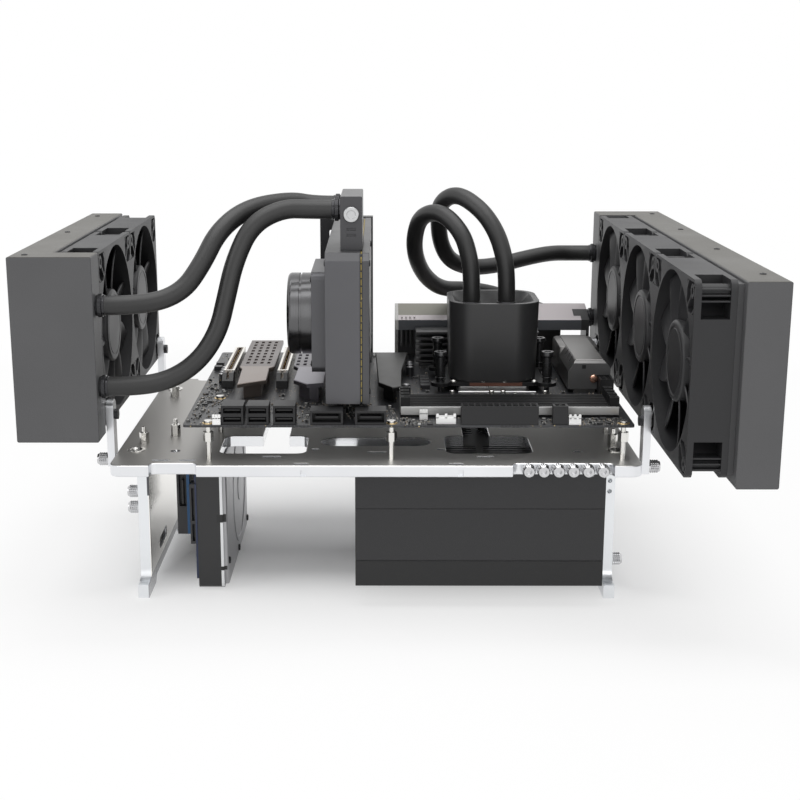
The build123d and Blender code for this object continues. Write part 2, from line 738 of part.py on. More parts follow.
with BuildPart() as usb_sockets:
    for ends in usb_ends:
        block(ends, usb_rows, (board_top, board_top + usb_height))
        inside = (ends[0] + usb_shell, ends[1] - usb_shell)
        inside_heights = (board_top + usb_shell, board_top + usb_height - usb_shell)
        block(inside, (board_front, board_front + 9), inside_heights, Mode.SUBTRACT)
        tongue = (ends[0] + usb_tongue_inset, ends[1] - usb_tongue_inset)
        tongue_heights = span(board_top + usb_height / 2, usb_tongue_height)
        block(tongue, (board_front + 3, board_front + 9.5), tongue_heights)
    block(upright_ends, upright_rows, (board_top, board_top + upright_height))
    upright_middle = (sum(upright_ends) / 2, sum(upright_rows) / 2)
    with BuildSketch(Plane.XY.offset(upright_floor)):
        with Locations(upright_middle):
            Rectangle(*upright_well)
            Rectangle(upright_core, upright_core, mode=Mode.SUBTRACT)
    extrude(amount=upright_height, mode=Mode.SUBTRACT)
usb_sockets.part.label = "usb_sockets"
export_step(usb_sockets.part, "parts/usb_sockets.step")

# White pin headers, each a base with a back wall and its pins
header_places = ((-107.7, -81.0, 2), (47.3, -78.5, 5), (32.5, -67.0, 2), (134.2, -80.5, 3))
header_pitch = 2.54
header_width = 5.6
header_base = 2.6
header_wall = 0.9
header_height = 7.4
header_pin = 0.7

with BuildPart() as pin_headers:
    for x, y, pins in header_places:
        length = header_pitch * pins + 0.6
        block(span(x, length), span(y, header_width), (board_top, board_top + header_base))
        wall_rows = (y + header_width / 2 - header_wall, y + header_width / 2)
        block(span(x, length), wall_rows, (board_top, board_top + header_height))
        with BuildSketch(Plane.XY.offset(board_top + header_base)):
            with Locations((x, y - header_wall)):
                with GridLocations(header_pitch, 1, pins, 1):
                    Rectangle(header_pin, header_pin)
        extrude(amount=header_height - header_base - 0.2)
pin_headers.part.label = "pin_headers"
export_step(pin_headers.part, "parts/pin_headers.step")

# Card slots, three long ones; the graphics card stands in the third
card_slot_columns = (-111.6, -70.96, -10.0)
card_slot_width = 7.6
card_slot_height = 11.2
card_slot_ends = (38.0, 127.0)
card_slot_groove = 2.0
card_slot_floor = board_top + 3.2
card_slot_end_wall = 2.0
card_latch_front = 24.0
card_latch_slope = 5.0
card_latch_lip = board_top + 6.0
card_latch_floor = board_top + 7.0
card_latch_overhang = 0.4

with BuildPart() as card_slots:
    for column in card_slot_columns:
        block(span(column, card_slot_width), card_slot_ends, (board_top, board_top + card_slot_height))
        with BuildSketch(Plane.YZ.offset(column - card_slot_width / 2 - card_latch_overhang)):
            with BuildLine():
                Polyline(
                    (card_slot_ends[0], board_top),
                    (card_slot_ends[0], board_top + card_slot_height),
                    (card_latch_front + card_latch_slope, board_top + card_slot_height),
                    (card_latch_front, card_latch_lip),
                    (card_latch_front, board_top),
                    close=True,
                )
            make_face()
        extrude(amount=card_slot_width + 2 * card_latch_overhang)
        groove = span(column, card_slot_groove)
        groove_top = board_top + card_slot_height
        groove_rows = (card_slot_ends[0] + card_slot_end_wall, card_slot_ends[1] - card_slot_end_wall)
        latch_rows = (card_latch_front - 1, groove_rows[0])
        block(groove, groove_rows, (card_slot_floor, groove_top), Mode.SUBTRACT)
        block(groove, latch_rows, (card_latch_floor, groove_top), Mode.SUBTRACT)
card_slots.part.label = "card_slots"
export_step(card_slots.part, "parts/card_slots.step")

# Covers over the drives and the chipset, raised on low walls
cover_top = board_bottom + 14.0
cover_plate = 3.0
cover_wall_inset = 4.0
cover_chamfer = 0.5
cover_slot_size = (2.4, 7.0)
cover_slot_pitch = (5.4, 11.5)
cover_slot_depth = 1.2
left_cover_points = [
    (-100.5, -14.0), (-80.5, -1.0), (-81.5, 40.0), (-78.0, 46.0),
    (-78.0, 150.0), (-104.5, 150.0), (-104.5, 45.0), (-102.0, 38.0),
]
middle_cover_points = [
    (-60.5, 0.0), (-50.0, -14.0), (-38.0, -11.0), (-38.0, 44.0),
    (-46.0, 96.0), (-63.5, 96.0), (-63.5, 50.0), (-59.5, 42.0),
]
right_cover_points = [
    (1.5, -8.0), (11.5, -25.0), (18.0, -20.0),
    (19.0, 34.0), (25.0, 100.0), (-1.0, 100.0),
]

covers = {
    "left_board_cover": (left_cover_points, (-91.3, 100.0), (4, 8)),
    "middle_board_cover": (middle_cover_points, (-55.0, 71.0), (3, 4)),
    "right_board_cover": (right_cover_points, None, None),
}
for cover_name, (points, slots_middle, slots_grid) in covers.items():
    with BuildPart() as cover:
        with BuildSketch(Plane.XY.offset(cover_top - cover_plate)):
            with BuildLine():
                Polyline(*points, close=True)
            make_face()
        extrude(amount=cover_plate)
        chamfer(cover.faces().sort_by(Axis.Z)[-1].edges(), cover_chamfer)
        with BuildSketch(Plane.XY.offset(board_top)):
            with BuildLine():
                Polyline(*points, close=True)
            make_face()
            offset(amount=-cover_wall_inset)
        extrude(amount=cover_top - cover_plate - board_top)
        # Clear of the board's screw heads
        with BuildSketch(Plane.XY.offset(board_top)):
            with Locations(*standoff_places):
                Circle(board_screw_head_radius + 1)
        extrude(amount=board_screw_head + 1, mode=Mode.SUBTRACT)
        if slots_middle:
            with BuildSketch(Plane.XY.offset(cover_top)):
                with Locations(slots_middle):
                    with GridLocations(*cover_slot_pitch, *slots_grid):
                        Rectangle(*cover_slot_size)
            extrude(amount=-cover_slot_depth, mode=Mode.SUBTRACT)
    cover.part.label = cover_name
    export_step(cover.part, f"parts/{cover_name}.step")

# Side regulator heatsink, beside the power socket
side_sink_left = board_right - 33.0
side_sink_right = board_right - 2.0
side_sink_rows = (11.0, 67.0)
side_sink_top = 162.0
side_sink_lift = 3.0
side_sink_left_bevel = (5.0, 8.0)
side_sink_right_bevel = (4.5, 5.0)
side_sink_chamfer = 2.0
side_sink_groove_rows = (28.0, 40.0, 52.0)
side_sink_groove = (1.6, 4.0)
side_sink_foot_inset = (4.5, 2.0)

with BuildPart() as side_heatsink:
    with BuildSketch(Plane.XZ.offset(-side_sink_rows[0])):
        with BuildLine():
            Polyline(
                (side_sink_left, board_top + side_sink_lift),
                (side_sink_left, side_sink_top - side_sink_left_bevel[1]),
                (side_sink_left + side_sink_left_bevel[0], side_sink_top),
                (side_sink_right - side_sink_right_bevel[0], side_sink_top),
                (side_sink_right, side_sink_top - side_sink_right_bevel[1]),
                (side_sink_right, board_top + side_sink_lift),
                close=True,
            )
        make_face()
    extrude(amount=side_sink_rows[0] - side_sink_rows[1])
    front_face = side_heatsink.faces().sort_by(Axis.Y)[0]
    chamfer(front_face.edges().sort_by(Axis.Z)[-1], side_sink_chamfer)
    groove_heights = (side_sink_top - side_sink_groove[1], side_sink_top)
    for row in side_sink_groove_rows:
        groove_rows = span(row, side_sink_groove[0])
        block((side_sink_left, side_sink_right), groove_rows, groove_heights, Mode.SUBTRACT)
    # Clear of the power socket at the board's edge
    socket_ends = (side_power_socket[0][0] - 0.5, side_sink_right)
    socket_rows = (side_sink_rows[0] - 1, side_power_socket[1][1] + 0.5)
    block(socket_ends, socket_rows, (board_top, power_socket_top + 0.5), Mode.SUBTRACT)
    foot_ends = (side_sink_left + side_sink_foot_inset[0], side_power_socket[0][0] - 1.5)
    foot_rows = (side_sink_rows[0] + side_sink_foot_inset[1], side_sink_rows[1] - side_sink_foot_inset[1])
    block(foot_ends, foot_rows, (board_top, board_top + side_sink_lift))
side_heatsink.part.label = "side_heatsink"
export_step(side_heatsink.part, "parts/side_heatsink.step")

# Rear regulator heatsink: a stack of level fins on a foot
rear_fin_count = 6
rear_fin_pitch = 4.6
rear_fin_thickness = 1.6
rear_fin_lift = 3.5
rear_fin_ends = (31.5, 130.0)
rear_fin_rows = (board_rear - 56.0, board_rear - 34.0)
rear_core_ends = (36.0, 126.0)
rear_core_front = board_rear - 44.0
rear_core_top = 166.0
rear_foot_ends = (34.0, 128.0)
rear_foot_front = board_rear - 52.0
rear_foot_thickness = 2.0

with BuildPart() as rear_heatsink:
    foot_rows = (rear_foot_front, rear_fin_rows[1])
    block(rear_foot_ends, foot_rows, (board_top, board_top + rear_foot_thickness))
    block(rear_core_ends, (rear_core_front, rear_fin_rows[1]), (board_top, rear_core_top))
    for number in range(rear_fin_count):
        height = board_top + rear_fin_lift + number * rear_fin_pitch
        block(rear_fin_ends, rear_fin_rows, (height, height + rear_fin_thickness))
rear_heatsink.part.label = "rear_heatsink"
export_step(rear_heatsink.part, "parts/rear_heatsink.step")

# Cover over the rear ports, with a bright top that slopes to its front bar
shroud_ends = (15.0, board_right - 0.5)
shroud_front = board_rear - 30.0
shroud_rear_top = 179.5
shroud_front_top = 171.0
shroud_front_foot = 162.5
shroud_wall = 2.5
shroud_skin = 3.0
shroud_lip = (board_rear - 2.0, board_rear + 1.0)
shroud_fin_top = 177.0
shroud_fin_count = 4
shroud_fin_pitch = 3.4
shroud_fin_thickness = 1.2
shroud_fin_heights = (148.0, 173.0)
shroud_block_length = 16.0
shroud_block_depth = 5.0
ports_top = 168.0

with BuildPart() as port_shroud:
    with BuildSketch(Plane.YZ.offset(shroud_ends[0])):
        with BuildLine():
            Polyline(
                (shroud_front, shroud_front_foot),
                (shroud_front, shroud_front_top),
                (shroud_lip[0], shroud_rear_top),
                (shroud_lip[1], shroud_rear_top),
                (shroud_lip[1], ports_top),
                (shroud_lip[0], ports_top),
                (shroud_lip[0], shroud_rear_top - shroud_skin),
                (shroud_front + shroud_skin, shroud_front_top - shroud_skin),
                (shroud_front + shroud_skin, shroud_front_foot),
                close=True,
            )
        make_face()
    extrude(amount=shroud_ends[1] - shroud_ends[0])
    # End walls, open where the fins breathe at the left
    with BuildSketch(Plane.YZ.offset(shroud_ends[1] - shroud_wall)):
        with BuildLine():
            Polyline(
                (shroud_front, board_top),
                (shroud_front, shroud_front_top),
                (shroud_lip[0], shroud_rear_top),
                (shroud_lip[1], shroud_rear_top),
                (shroud_lip[1], ports_top),
                (board_rear - 1, board_top),
                close=True,
            )
        make_face()
    extrude(amount=shroud_wall)
    # Left end post, and upright fins on the block beside it
    post_ends = (shroud_ends[0], shroud_ends[0] + shroud_wall)
    fin_rear = board_rear - 3.0
    block(post_ends, (fin_rear, board_rear), (board_top, ports_top))
    block(post_ends, (fin_rear - 3, shroud_lip[0]), (ports_top, shroud_fin_top))
    for number in range(shroud_fin_count):
        fin = post_ends[1] + shroud_wall + number * shroud_fin_pitch
        block((fin, fin + shroud_fin_thickness), (shroud_front + 2, fin_rear), shroud_fin_heights)
    block_ends = (shroud_ends[0] + 2, shroud_ends[0] + 2 + shroud_block_length)
    block(block_ends, (fin_rear - shroud_block_depth, fin_rear), (board_top, shroud_fin_top))
port_shroud.part.label = "port_shroud"
export_step(port_shroud.part, "parts/port_shroud.step")

# Rear ports, side by side: each a metal shell with its tongue
port_places = [
    (42.0, 14.0, 30.0), (60.0, 16.0, 28.0), (79.0, 16.0, 28.0),
    (98.0, 16.0, 28.0), (118.0, 17.0, 29.0), (141.0, 22.0, 29.0),
]
port_levels = (0.27, 0.73)
port_opening = 0.3
port_depth = 10.0
port_wall = 1.5
port_tongue = 2.0
port_tongue_inset = 3.0

with BuildPart() as rear_ports:
    for x, width, height in port_places:
        shell_rows = (board_rear - 2 * port_depth, board_rear + 0.5)
        block(span(x, width), shell_rows, (board_top, board_top + height))
        for level in [board_top + height * share for share in port_levels]:
            opening = span(level, height * port_opening)
            opening_ends = span(x, width - 2 * port_wall)
            block(opening_ends, (board_rear - port_depth, board_rear + 1), opening, Mode.SUBTRACT)
            tongue_ends = span(x, width - 2 * port_tongue_inset)
            block(tongue_ends, (board_rear - port_depth, board_rear - 1), span(level, port_tongue))
rear_ports.part.label = "rear_ports"
export_step(rear_ports.part, "parts/rear_ports.step")

# Processor cooler: cold plate, bracket, water block with its dished top, spring screws
plate_bottom = board_top + processor_height
plate_thickness = 3.0
block_bottom = plate_bottom + plate_thickness
block_top = 204.5
block_width = 67.0
block_corner = 19.0
bracket_level = plate_bottom + 0.4
cooler_screw_spread = (79.0, 54.0)
cooler_screw_radius = 3.0
cooler_screw_shaft_radius = 1.8
cooler_screw_top = 168.0
cooler_cap_radius = 5.0
cooler_cap_thickness = 4.0
cold_plate_width = 50.0
cold_plate_corner = 3.0
bracket_size = (76.0, 60.0, 10.0)
bracket_lobe_radius = 7.0
bracket_clearance = 0.5
dish_depth = 9.5
dish_floor_inset = 11.0
rim_width = 4.0
foot_taper = 1.5
foot_groove = (3.0, 1.6)
hose_spread = 26.3
hose_middle = 84.55
dish_floor = block_top - dish_depth

with BuildPart() as cpu_cold_plate:
    with BuildSketch(Plane.XY.offset(plate_bottom)):
        with Locations(processor_place):
            RectangleRounded(cold_plate_width, cold_plate_width, cold_plate_corner)
    extrude(amount=plate_thickness)
cpu_cold_plate.part.label = "cpu_cold_plate"
export_step(cpu_cold_plate.part, "parts/cpu_cold_plate.step")

with BuildPart() as cpu_bracket:
    with BuildSketch(Plane.XY.offset(bracket_level)):
        with Locations(processor_place):
            RectangleRounded(*bracket_size)
            with GridLocations(*cooler_screw_spread, 2, 2):
                Circle(bracket_lobe_radius)
            bore_width = cold_plate_width + 2 * bracket_clearance
            bore_corner = cold_plate_corner + bracket_clearance
            RectangleRounded(bore_width, bore_width, bore_corner, mode=Mode.SUBTRACT)
            with GridLocations(*cooler_screw_spread, 2, 2):
                Circle(cooler_screw_shaft_radius + thread_clearance, mode=Mode.SUBTRACT)
    extrude(amount=block_bottom - bracket_level)
cpu_bracket.part.label = "cpu_bracket"
export_step(cpu_bracket.part, "parts/cpu_bracket.step")

with BuildPart() as cpu_water_block:
    with BuildSketch(Plane.XY.offset(block_bottom)):
        with Locations(processor_place):
            foot_width = block_width - 2 * foot_taper
            RectangleRounded(foot_width, foot_width, block_corner - foot_taper)
    with BuildSketch(Plane.XY.offset(block_top)):
        with Locations(processor_place):
            RectangleRounded(block_width, block_width, block_corner)
    loft(ruled=True)
    # Dished top, with a sloping wall inside the rim
    with BuildSketch(Plane.XY.offset(dish_floor)):
        with Locations(processor_place):
            floor_width = block_width - 2 * dish_floor_inset
            RectangleRounded(floor_width, floor_width, block_corner - dish_floor_inset + 2)
    with BuildSketch(Plane.XY.offset(block_top)):
        with Locations(processor_place):
            dish_width = block_width - 2 * rim_width
            RectangleRounded(dish_width, dish_width, block_corner - rim_width)
    loft(ruled=True, mode=Mode.SUBTRACT)
    # Groove round the foot
    with BuildSketch(Plane.XY.offset(block_bottom)):
        with Locations(processor_place):
            neck_width = block_width - 2 * foot_groove[0]
            neck_corner = block_corner - foot_groove[0]
            RectangleRounded(block_width + 2, block_width + 2, block_corner)
            RectangleRounded(neck_width, neck_width, neck_corner, mode=Mode.SUBTRACT)
    extrude(amount=foot_groove[1], mode=Mode.SUBTRACT)
cpu_water_block.part.label = "cpu_water_block"
export_step(cpu_water_block.part, "parts/cpu_water_block.step")

with BuildPart() as cooler_screws:
    with BuildSketch(Plane.XY.offset(block_bottom)):
        with Locations(processor_place):
            with GridLocations(*cooler_screw_spread, 2, 2):
                Circle(cooler_screw_radius)
    extrude(amount=cooler_screw_top - block_bottom)
    with BuildSketch(Plane.XY.offset(cooler_screw_top - cooler_cap_thickness)):
        with Locations(processor_place):
            with GridLocations(*cooler_screw_spread, 2, 2):
                Circle(cooler_cap_radius)
    extrude(amount=cooler_cap_thickness)
    with BuildSketch(Plane.XY.offset(board_top)):
        with Locations(processor_place):
            with GridLocations(*cooler_screw_spread, 2, 2):
                Circle(cooler_screw_shaft_radius)
    extrude(amount=block_bottom - board_top)
cooler_screws.part.label = "cooler_screws"
export_step(cooler_screws.part, "parts/cooler_screws.step")

# Graphics card: printed board, water block with raised housing, pump, backplate, bracket
card_front = -72.0
card_rear = board_rear + 0.5
card_column = card_slot_columns[2]
card_board = (card_column - 0.8, card_column + 0.8)
card_bottom = 149.3
card_top = 252.0
card_block_left = -34.3
card_block_rear = card_rear - 10.5
card_bevel = 5.0
backplate_thickness = 4.5
backplate_rear = card_rear - 8.5
backplate_slots_middle = (110.0, 200.0)
backplate_slots = (9.0, 6)
backplate_slot_size = (40.0, 3.5)
housing_thickness = 10.3
housing = ((card_block_left - housing_thickness, card_block_left), (-50.0, 26.0), (166.0, 236.0))
housing_corner = 5.0
pump_place = (-9.0, 201.0)
pump_radius = 29.0
pump_thickness = 18.0
pump_fillet = 3.0
pump_groove_level = 8.0
pump_groove = (1.2, 1.6)
card_board_rows = (card_front + 2.0, card_rear)
card_board_heights = (card_bottom + 0.5, card_top - 1.0)
card_finger = ((46.0, 54.0), (57.0, 118.0))
card_finger_bottom = card_slot_floor + 0.8

with BuildPart() as gpu_board:
    block(card_board, card_board_rows, card_board_heights)
    for finger in card_finger:
        block(card_board, finger, (card_finger_bottom, card_board_heights[0]))
gpu_board.part.label = "gpu_board"
export_step(gpu_board.part, "parts/gpu_board.step")

with BuildPart() as gpu_water_block:
    with BuildSketch(Plane.XZ.offset(-card_front)):
        with BuildLine():
            Polyline(
                (card_block_left, card_bottom),
                (card_block_left, card_top),
                (card_board[0], card_top),
                (card_board[0], card_bottom),
                close=True,
            )
        make_face()
    extrude(amount=card_front - card_block_rear)
    front_edges = gpu_water_block.faces().sort_by(Axis.Y)[0].edges()
    chamfer(front_edges.sort_by(Axis.Z)[-1], card_bevel)
    with BuildSketch(Plane.YZ.offset(housing[0][0])):
        with Locations((sum(housing[1]) / 2, sum(housing[2]) / 2)):
            housing_length = housing[1][1] - housing[1][0]
            RectangleRounded(housing_length, housing[2][1] - housing[2][0], housing_corner)
    extrude(amount=housing_thickness)
gpu_water_block.part.label = "gpu_water_block"
export_step(gpu_water_block.part, "parts/gpu_water_block.step")

with BuildPart() as gpu_pump:
    pump_plane = Plane((housing[0][0], *pump_place), x_dir=(0, 1, 0), z_dir=(-1, 0, 0))
    with BuildSketch(pump_plane):
        Circle(pump_radius)
    extrude(amount=pump_thickness)
    rim = gpu_pump.edges().filter_by(GeomType.CIRCLE).sort_by(Axis.X)[0]
    fillet(rim, pump_fillet)
    # Groove between the two steps of the drum
    with BuildSketch(pump_plane.offset(pump_groove_level)):
        Circle(pump_radius + 1)
        Circle(pump_radius - pump_groove[0], mode=Mode.SUBTRACT)
    extrude(amount=pump_groove[1], mode=Mode.SUBTRACT)
gpu_pump.part.label = "gpu_pump"
export_step(gpu_pump.part, "parts/gpu_pump.step")

with BuildPart() as gpu_backplate:
    with BuildSketch(Plane.YZ.offset(card_board[1])):
        with BuildLine():
            Polyline(
                (card_front, card_bottom),
                (card_front, card_top - card_bevel),
                (card_front + card_bevel, card_top),
                (backplate_rear, card_top),
                (backplate_rear, card_bottom),
                close=True,
            )
        make_face()
        with Locations(backplate_slots_middle):
            with GridLocations(backplate_slots[0], 1, backplate_slots[1], 1):
                SlotOverall(*backplate_slot_size, rotation=90, mode=Mode.SUBTRACT)
    extrude(amount=backplate_thickness)
gpu_backplate.part.label = "gpu_backplate"
export_step(gpu_backplate.part, "parts/gpu_backplate.step")

bracket_ends = (-47.0, -3.3)
bracket_thickness = 1.2
bracket_foot = card_bottom - 28.0
bracket_top = 250.5
bracket_tab_depth = 12.0
bracket_tab_gap = (-31.0, -18.0)
bracket_tab_gap_front = 4.0
bracket_tongue_gap = (-38.0, -14.0)
bracket_tongue_height = 16.0
bracket_slots_middle = (-25.0, 200.0)
bracket_slots = (5.2, 22.0, 6, 4)
bracket_slot_size = (16.0, 2.6)
bracket_ear = ((-47.0, -37.0), (250.5, 266.0))
bracket_ear_hole = (-42.0, 261.0, 2.2)

with BuildPart() as gpu_bracket:
    bracket_rows = (card_rear, card_rear + bracket_thickness)
    tab_rows = (card_rear, card_rear + bracket_tab_depth)
    tab_heights = (bracket_top, bracket_top + bracket_thickness)
    gap_rows = (card_rear + bracket_tab_gap_front, tab_rows[1])
    block(bracket_ends, bracket_rows, (bracket_foot, bracket_top))
    block(bracket_ends, tab_rows, tab_heights)
    block(bracket_tab_gap, gap_rows, tab_heights, Mode.SUBTRACT)
    # Ear with a round hole, above the tab
    block(bracket_ear[0], bracket_rows, bracket_ear[1])
    with BuildSketch(Plane.XZ.offset(-card_rear)):
        with Locations(bracket_ear_hole[:2]):
            Circle(bracket_ear_hole[2])
    extrude(amount=-bracket_thickness, mode=Mode.SUBTRACT)
    # Tongues at the foot, and windows for the sockets
    tongue_heights = (bracket_foot, bracket_foot + bracket_tongue_height)
    block(bracket_tongue_gap, bracket_rows, tongue_heights, Mode.SUBTRACT)
    with BuildSketch(Plane.XZ.offset(-card_rear)):
        with Locations(bracket_slots_middle):
            with GridLocations(*bracket_slots):
                SlotOverall(*bracket_slot_size, rotation=90)
    extrude(amount=-bracket_thickness, mode=Mode.SUBTRACT)
gpu_bracket.part.label = "gpu_bracket"
export_step(gpu_bracket.part, "parts/gpu_bracket.step")

# Terminal block on the card's top edge: two ports on its left, a plug on its front
terminal = ((-24.2, -9.4), (-54.0, 6.0), (card_top, 293.0))
terminal_rows = (-40.0, -8.0)
terminal_port_height = 278.0
terminal_middle = sum(terminal[0]) / 2
terminal_fillet = 1.0
terminal_slots = ((6.0, 1.6), (262.0, 266.0))
plug_height = 276.0
plug_radius = 5.4
plug_thickness = 1.2

with BuildPart() as gpu_terminal:
    block(*terminal)
    fillet(gpu_terminal.edges().filter_by(Axis.Y).sort_by(Axis.Z)[-2:], terminal_fillet)
    with BuildSketch(Plane.XZ.offset(-terminal[1][0])):
        with Locations((terminal_middle, plug_height)):
            Circle(plug_radius)
    extrude(amount=plug_thickness)
    slot_size, slot_levels = terminal_slots
    slot_rows = (terminal[1][0], terminal[1][0] + 1)
    for level in slot_levels:
        slot_ends = span(terminal_middle, slot_size[0])
        block(slot_ends, slot_rows, span(level, slot_size[1]), Mode.SUBTRACT)
gpu_terminal.part.label = "gpu_terminal"
export_step(gpu_terminal.part, "parts/gpu_terminal.step")

# Hose fittings, one at each end of the four hoses
fitting_neck = 6.9
fitting_collar = 7.8
fitting_collar_start = 1.2
fitting_collar_length = 3.2
left_port_row = sum(left_tank) / 2
right_port_row = sum(right_tank) / 2
fitting_planes = []
for height in port_heights:
    fitting_planes.append(Plane((-fan_inner, left_port_row, height), x_dir=(0, 1, 0), z_dir=(1, 0, 0)))
    fitting_planes.append(Plane((fan_inner, right_port_row, height), x_dir=(0, 1, 0), z_dir=(-1, 0, 0)))
for row in terminal_rows:
    port = (terminal[0][0], row, terminal_port_height)
    fitting_planes.append(Plane(port, x_dir=(0, 1, 0), z_dir=(-1, 0, 0)))
for side in (-1, 1):
    port = (hose_middle + side * hose_spread / 2, processor_place[1], dish_floor)
    fitting_planes.append(Plane(port, x_dir=(1, 0, 0), z_dir=(0, 0, 1)))

with BuildPart() as hose_fitting:
    with BuildSketch():
        Circle(fitting_neck)
    extrude(amount=fitting_length)
    with BuildSketch(Plane.XY.offset(fitting_collar_start)):
        Circle(fitting_collar)
    extrude(amount=fitting_collar_length)

with BuildPart() as hose_fittings:
    for plane in fitting_planes:
        add(plane.location * hose_fitting.part)
hose_fittings.part.label = "hose_fittings"
export_step(hose_fittings.part, "parts/hose_fittings.step")

# Hoses, each from the face of one fitting to the face of the other
left_end = -fan_inner + fitting_length
right_end = fan_inner - fitting_length
terminal_end = terminal[0][0] - fitting_length
block_end = dish_floor + fitting_length
hose_routes = {
    "gpu_hose_rear": [
        (left_end, left_port_row, port_heights[1]),
        (left_end + 27.0, left_port_row, port_heights[1]),
        (-129.0, -75.0, 226.5),
        (-116.5, -66.0, 244.0),
        (-106.5, -53.0, 265.0),
        (-88.0, -33.0, 278.5),
        (-60.0, -13.0, 281.5),
        (-44.0, terminal_rows[1], terminal_port_height),
        (terminal_end, terminal_rows[1], terminal_port_height),
    ],
    "gpu_hose_front": [
        (left_end, left_port_row, port_heights[0]),
        (left_end + 21.0, left_port_row, port_heights[0]),
        (-136.0, -78.5, 168.5),
        (-118.0, -74.5, 181.0),
        (-106.0, -70.0, 200.0),
        (-101.0, -65.0, 221.0),
        (-95.5, -59.0, 245.0),
        (-84.5, -51.0, 268.5),
        (-64.0, -43.0, 279.0),
        (-44.0, terminal_rows[0], terminal_port_height),
        (terminal_end, terminal_rows[0], terminal_port_height),
    ],
    "cpu_hose_left": [
        (hose_middle - hose_spread / 2, processor_place[1], block_end),
        (hose_middle - hose_spread / 2, processor_place[1], 218.0),
        (69.5, 44.0, 234.0),
        (64.0, 49.0, 252.0),
        (49.0, 64.0, 266.5),
        (33.5, 84.0, 261.0),
        (29.0, 100.0, 240.5),
        (31.5, 117.0, 222.0),
        (40.0, 135.0, 205.0),
        (54.0, 152.0, 193.0),
        (74.0, 169.0, 190.5),
        (98.0, right_port_row - 4.75, 186.0),
        (124.0, right_port_row - 0.75, 176.0),
        (right_end - 31.0, right_port_row + 0.75, 166.5),
        (right_end - 16.0, right_port_row, port_heights[0]),
        (right_end, right_port_row, port_heights[0]),
    ],
    "cpu_hose_right": [
        (hose_middle + hose_spread / 2, processor_place[1], block_end),
        (hose_middle + hose_spread / 2, processor_place[1], 218.0),
        (95.5, 44.0, 234.0),
        (90.0, 49.0, 252.0),
        (79.0, 59.0, 268.0),
        (61.5, 77.0, 279.0),
        (49.0, 96.0, 270.0),
        (48.5, 107.0, 252.0),
        (51.0, 116.0, 235.0),
        (59.0, 127.0, 220.0),
        (76.0, 139.0, 212.5),
        (100.0, 151.0, 213.0),
        (124.0, right_port_row - 19.75, 217.5),
        (right_end - 33.0, right_port_row - 7.75, 220.0),
        (right_end - 16.0, right_port_row, port_heights[1]),
        (right_end, right_port_row, port_heights[1]),
    ],
}


def bend_radii(points):
    """Radius at each inner point of a route, as large as its two runs allow."""
    radii = []
    for before, corner, after in zip(points, points[1:], points[2:]):
        run_in = Vector(*corner) - Vector(*before)
        run_out = Vector(*after) - Vector(*corner)
        shorter = min(run_in.length, run_out.length)
        radii.append(0.45 * shorter / tan(radians(run_in.get_angle(run_out)) / 2))
    return radii


for hose_name, points in hose_routes.items():
    radii = bend_radii(points)
    print(hose_name, "radii", [round(radius, 1) for radius in radii])
    with BuildPart() as hose:
        with BuildLine() as route:
            FilletPolyline(*points, radius=radii)
        with BuildSketch(Plane(route.line @ 0, z_dir=route.line % 0)):
            Circle(hose_radius)
        sweep()
    length = sum(edge.length for edge in route.edges())
    expected = pi * hose_radius**2 * length
    print(hose_name, "volume", round(hose.part.volume), "expected", round(expected))
    hose.part.label = hose_name
    export_step(hose.part, f"parts/{hose_name}.step")

# Slim drive, hung under the deck on its long edge, with its sockets to the front
slim_drive = ((-147.5, -138.0), (-9.0, 91.0), (deck_bottom - 70.0, deck_bottom))
slim_drive_fillet = 1.5
slim_socket = ((-145.8, -140.6), (deck_bottom - 48.0, deck_bottom - 12.0))
slim_socket_depth = 5.0
slim_tongue = (-143.8, -142.6)
slim_tongue_heights = [
    (deck_bottom - 46.5, deck_bottom - 28.0),
    (deck_bottom - 25.0, deck_bottom - 13.5),
]

with BuildPart() as ssd:
    block(*slim_drive)
    fillet(ssd.edges().filter_by(Axis.X), slim_drive_fillet)
    front = slim_drive[1][0]
    block(slim_socket[0], (front, front + slim_socket_depth), slim_socket[1], Mode.SUBTRACT)
    for heights in slim_tongue_heights:
        block(slim_tongue, (front + 0.5, front + slim_socket_depth), heights)
ssd.part.label = "ssd"
export_step(ssd.part, "parts/ssd.step")

# Hard drive beside it: cast body with its cover, and the printed board on its left
hard_drive_rows = (-38.0, 109.0)
hard_drive_heights = (deck_bottom - 101.6, deck_bottom)
hard_drive_middle = (sum(hard_drive_rows) / 2, sum(hard_drive_heights) / 2)
hard_drive_length = hard_drive_rows[1] - hard_drive_rows[0]
hard_drive_width = hard_drive_heights[1] - hard_drive_heights[0]
hard_drive_body = (-129.0, -107.5)
hard_drive_corner = 4.0
drive_cover_thickness = 3.0
drive_cover_inset = 1.5
drive_cover_corner = 6.0
drive_cover_chamfer = 0.8
drive_cover_notch = (4.5, 13.5)
disc_middle = (50.0, deck_bottom - 49.0)
disc_ring = (44.0, 40.0)
disc_hub = 12.0
disc_rise = 0.6
drive_board_thickness = 1.6
drive_board_rows = (hard_drive_rows[0] + 1.0, hard_drive_rows[0] + 101.0)
drive_board_heights = (deck_bottom - 94.0, deck_bottom - 6.0)
drive_socket_depth = 3.4
drive_socket_rows = (hard_drive_rows[0] - 0.5, hard_drive_rows[0] + 9.0)
drive_socket_heights = (deck_bottom - 67.0, deck_bottom - 22.0)
drive_slot_heights = [
    (deck_bottom - 65.0, deck_bottom - 52.0),
    (deck_bottom - 49.5, deck_bottom - 25.0),
]
drive_chips = [(20.0, 60.0, 14.0), (0.0, 26.0, 9.0), (38.0, 34.0, 8.0)]
drive_chip_rise = 1.4

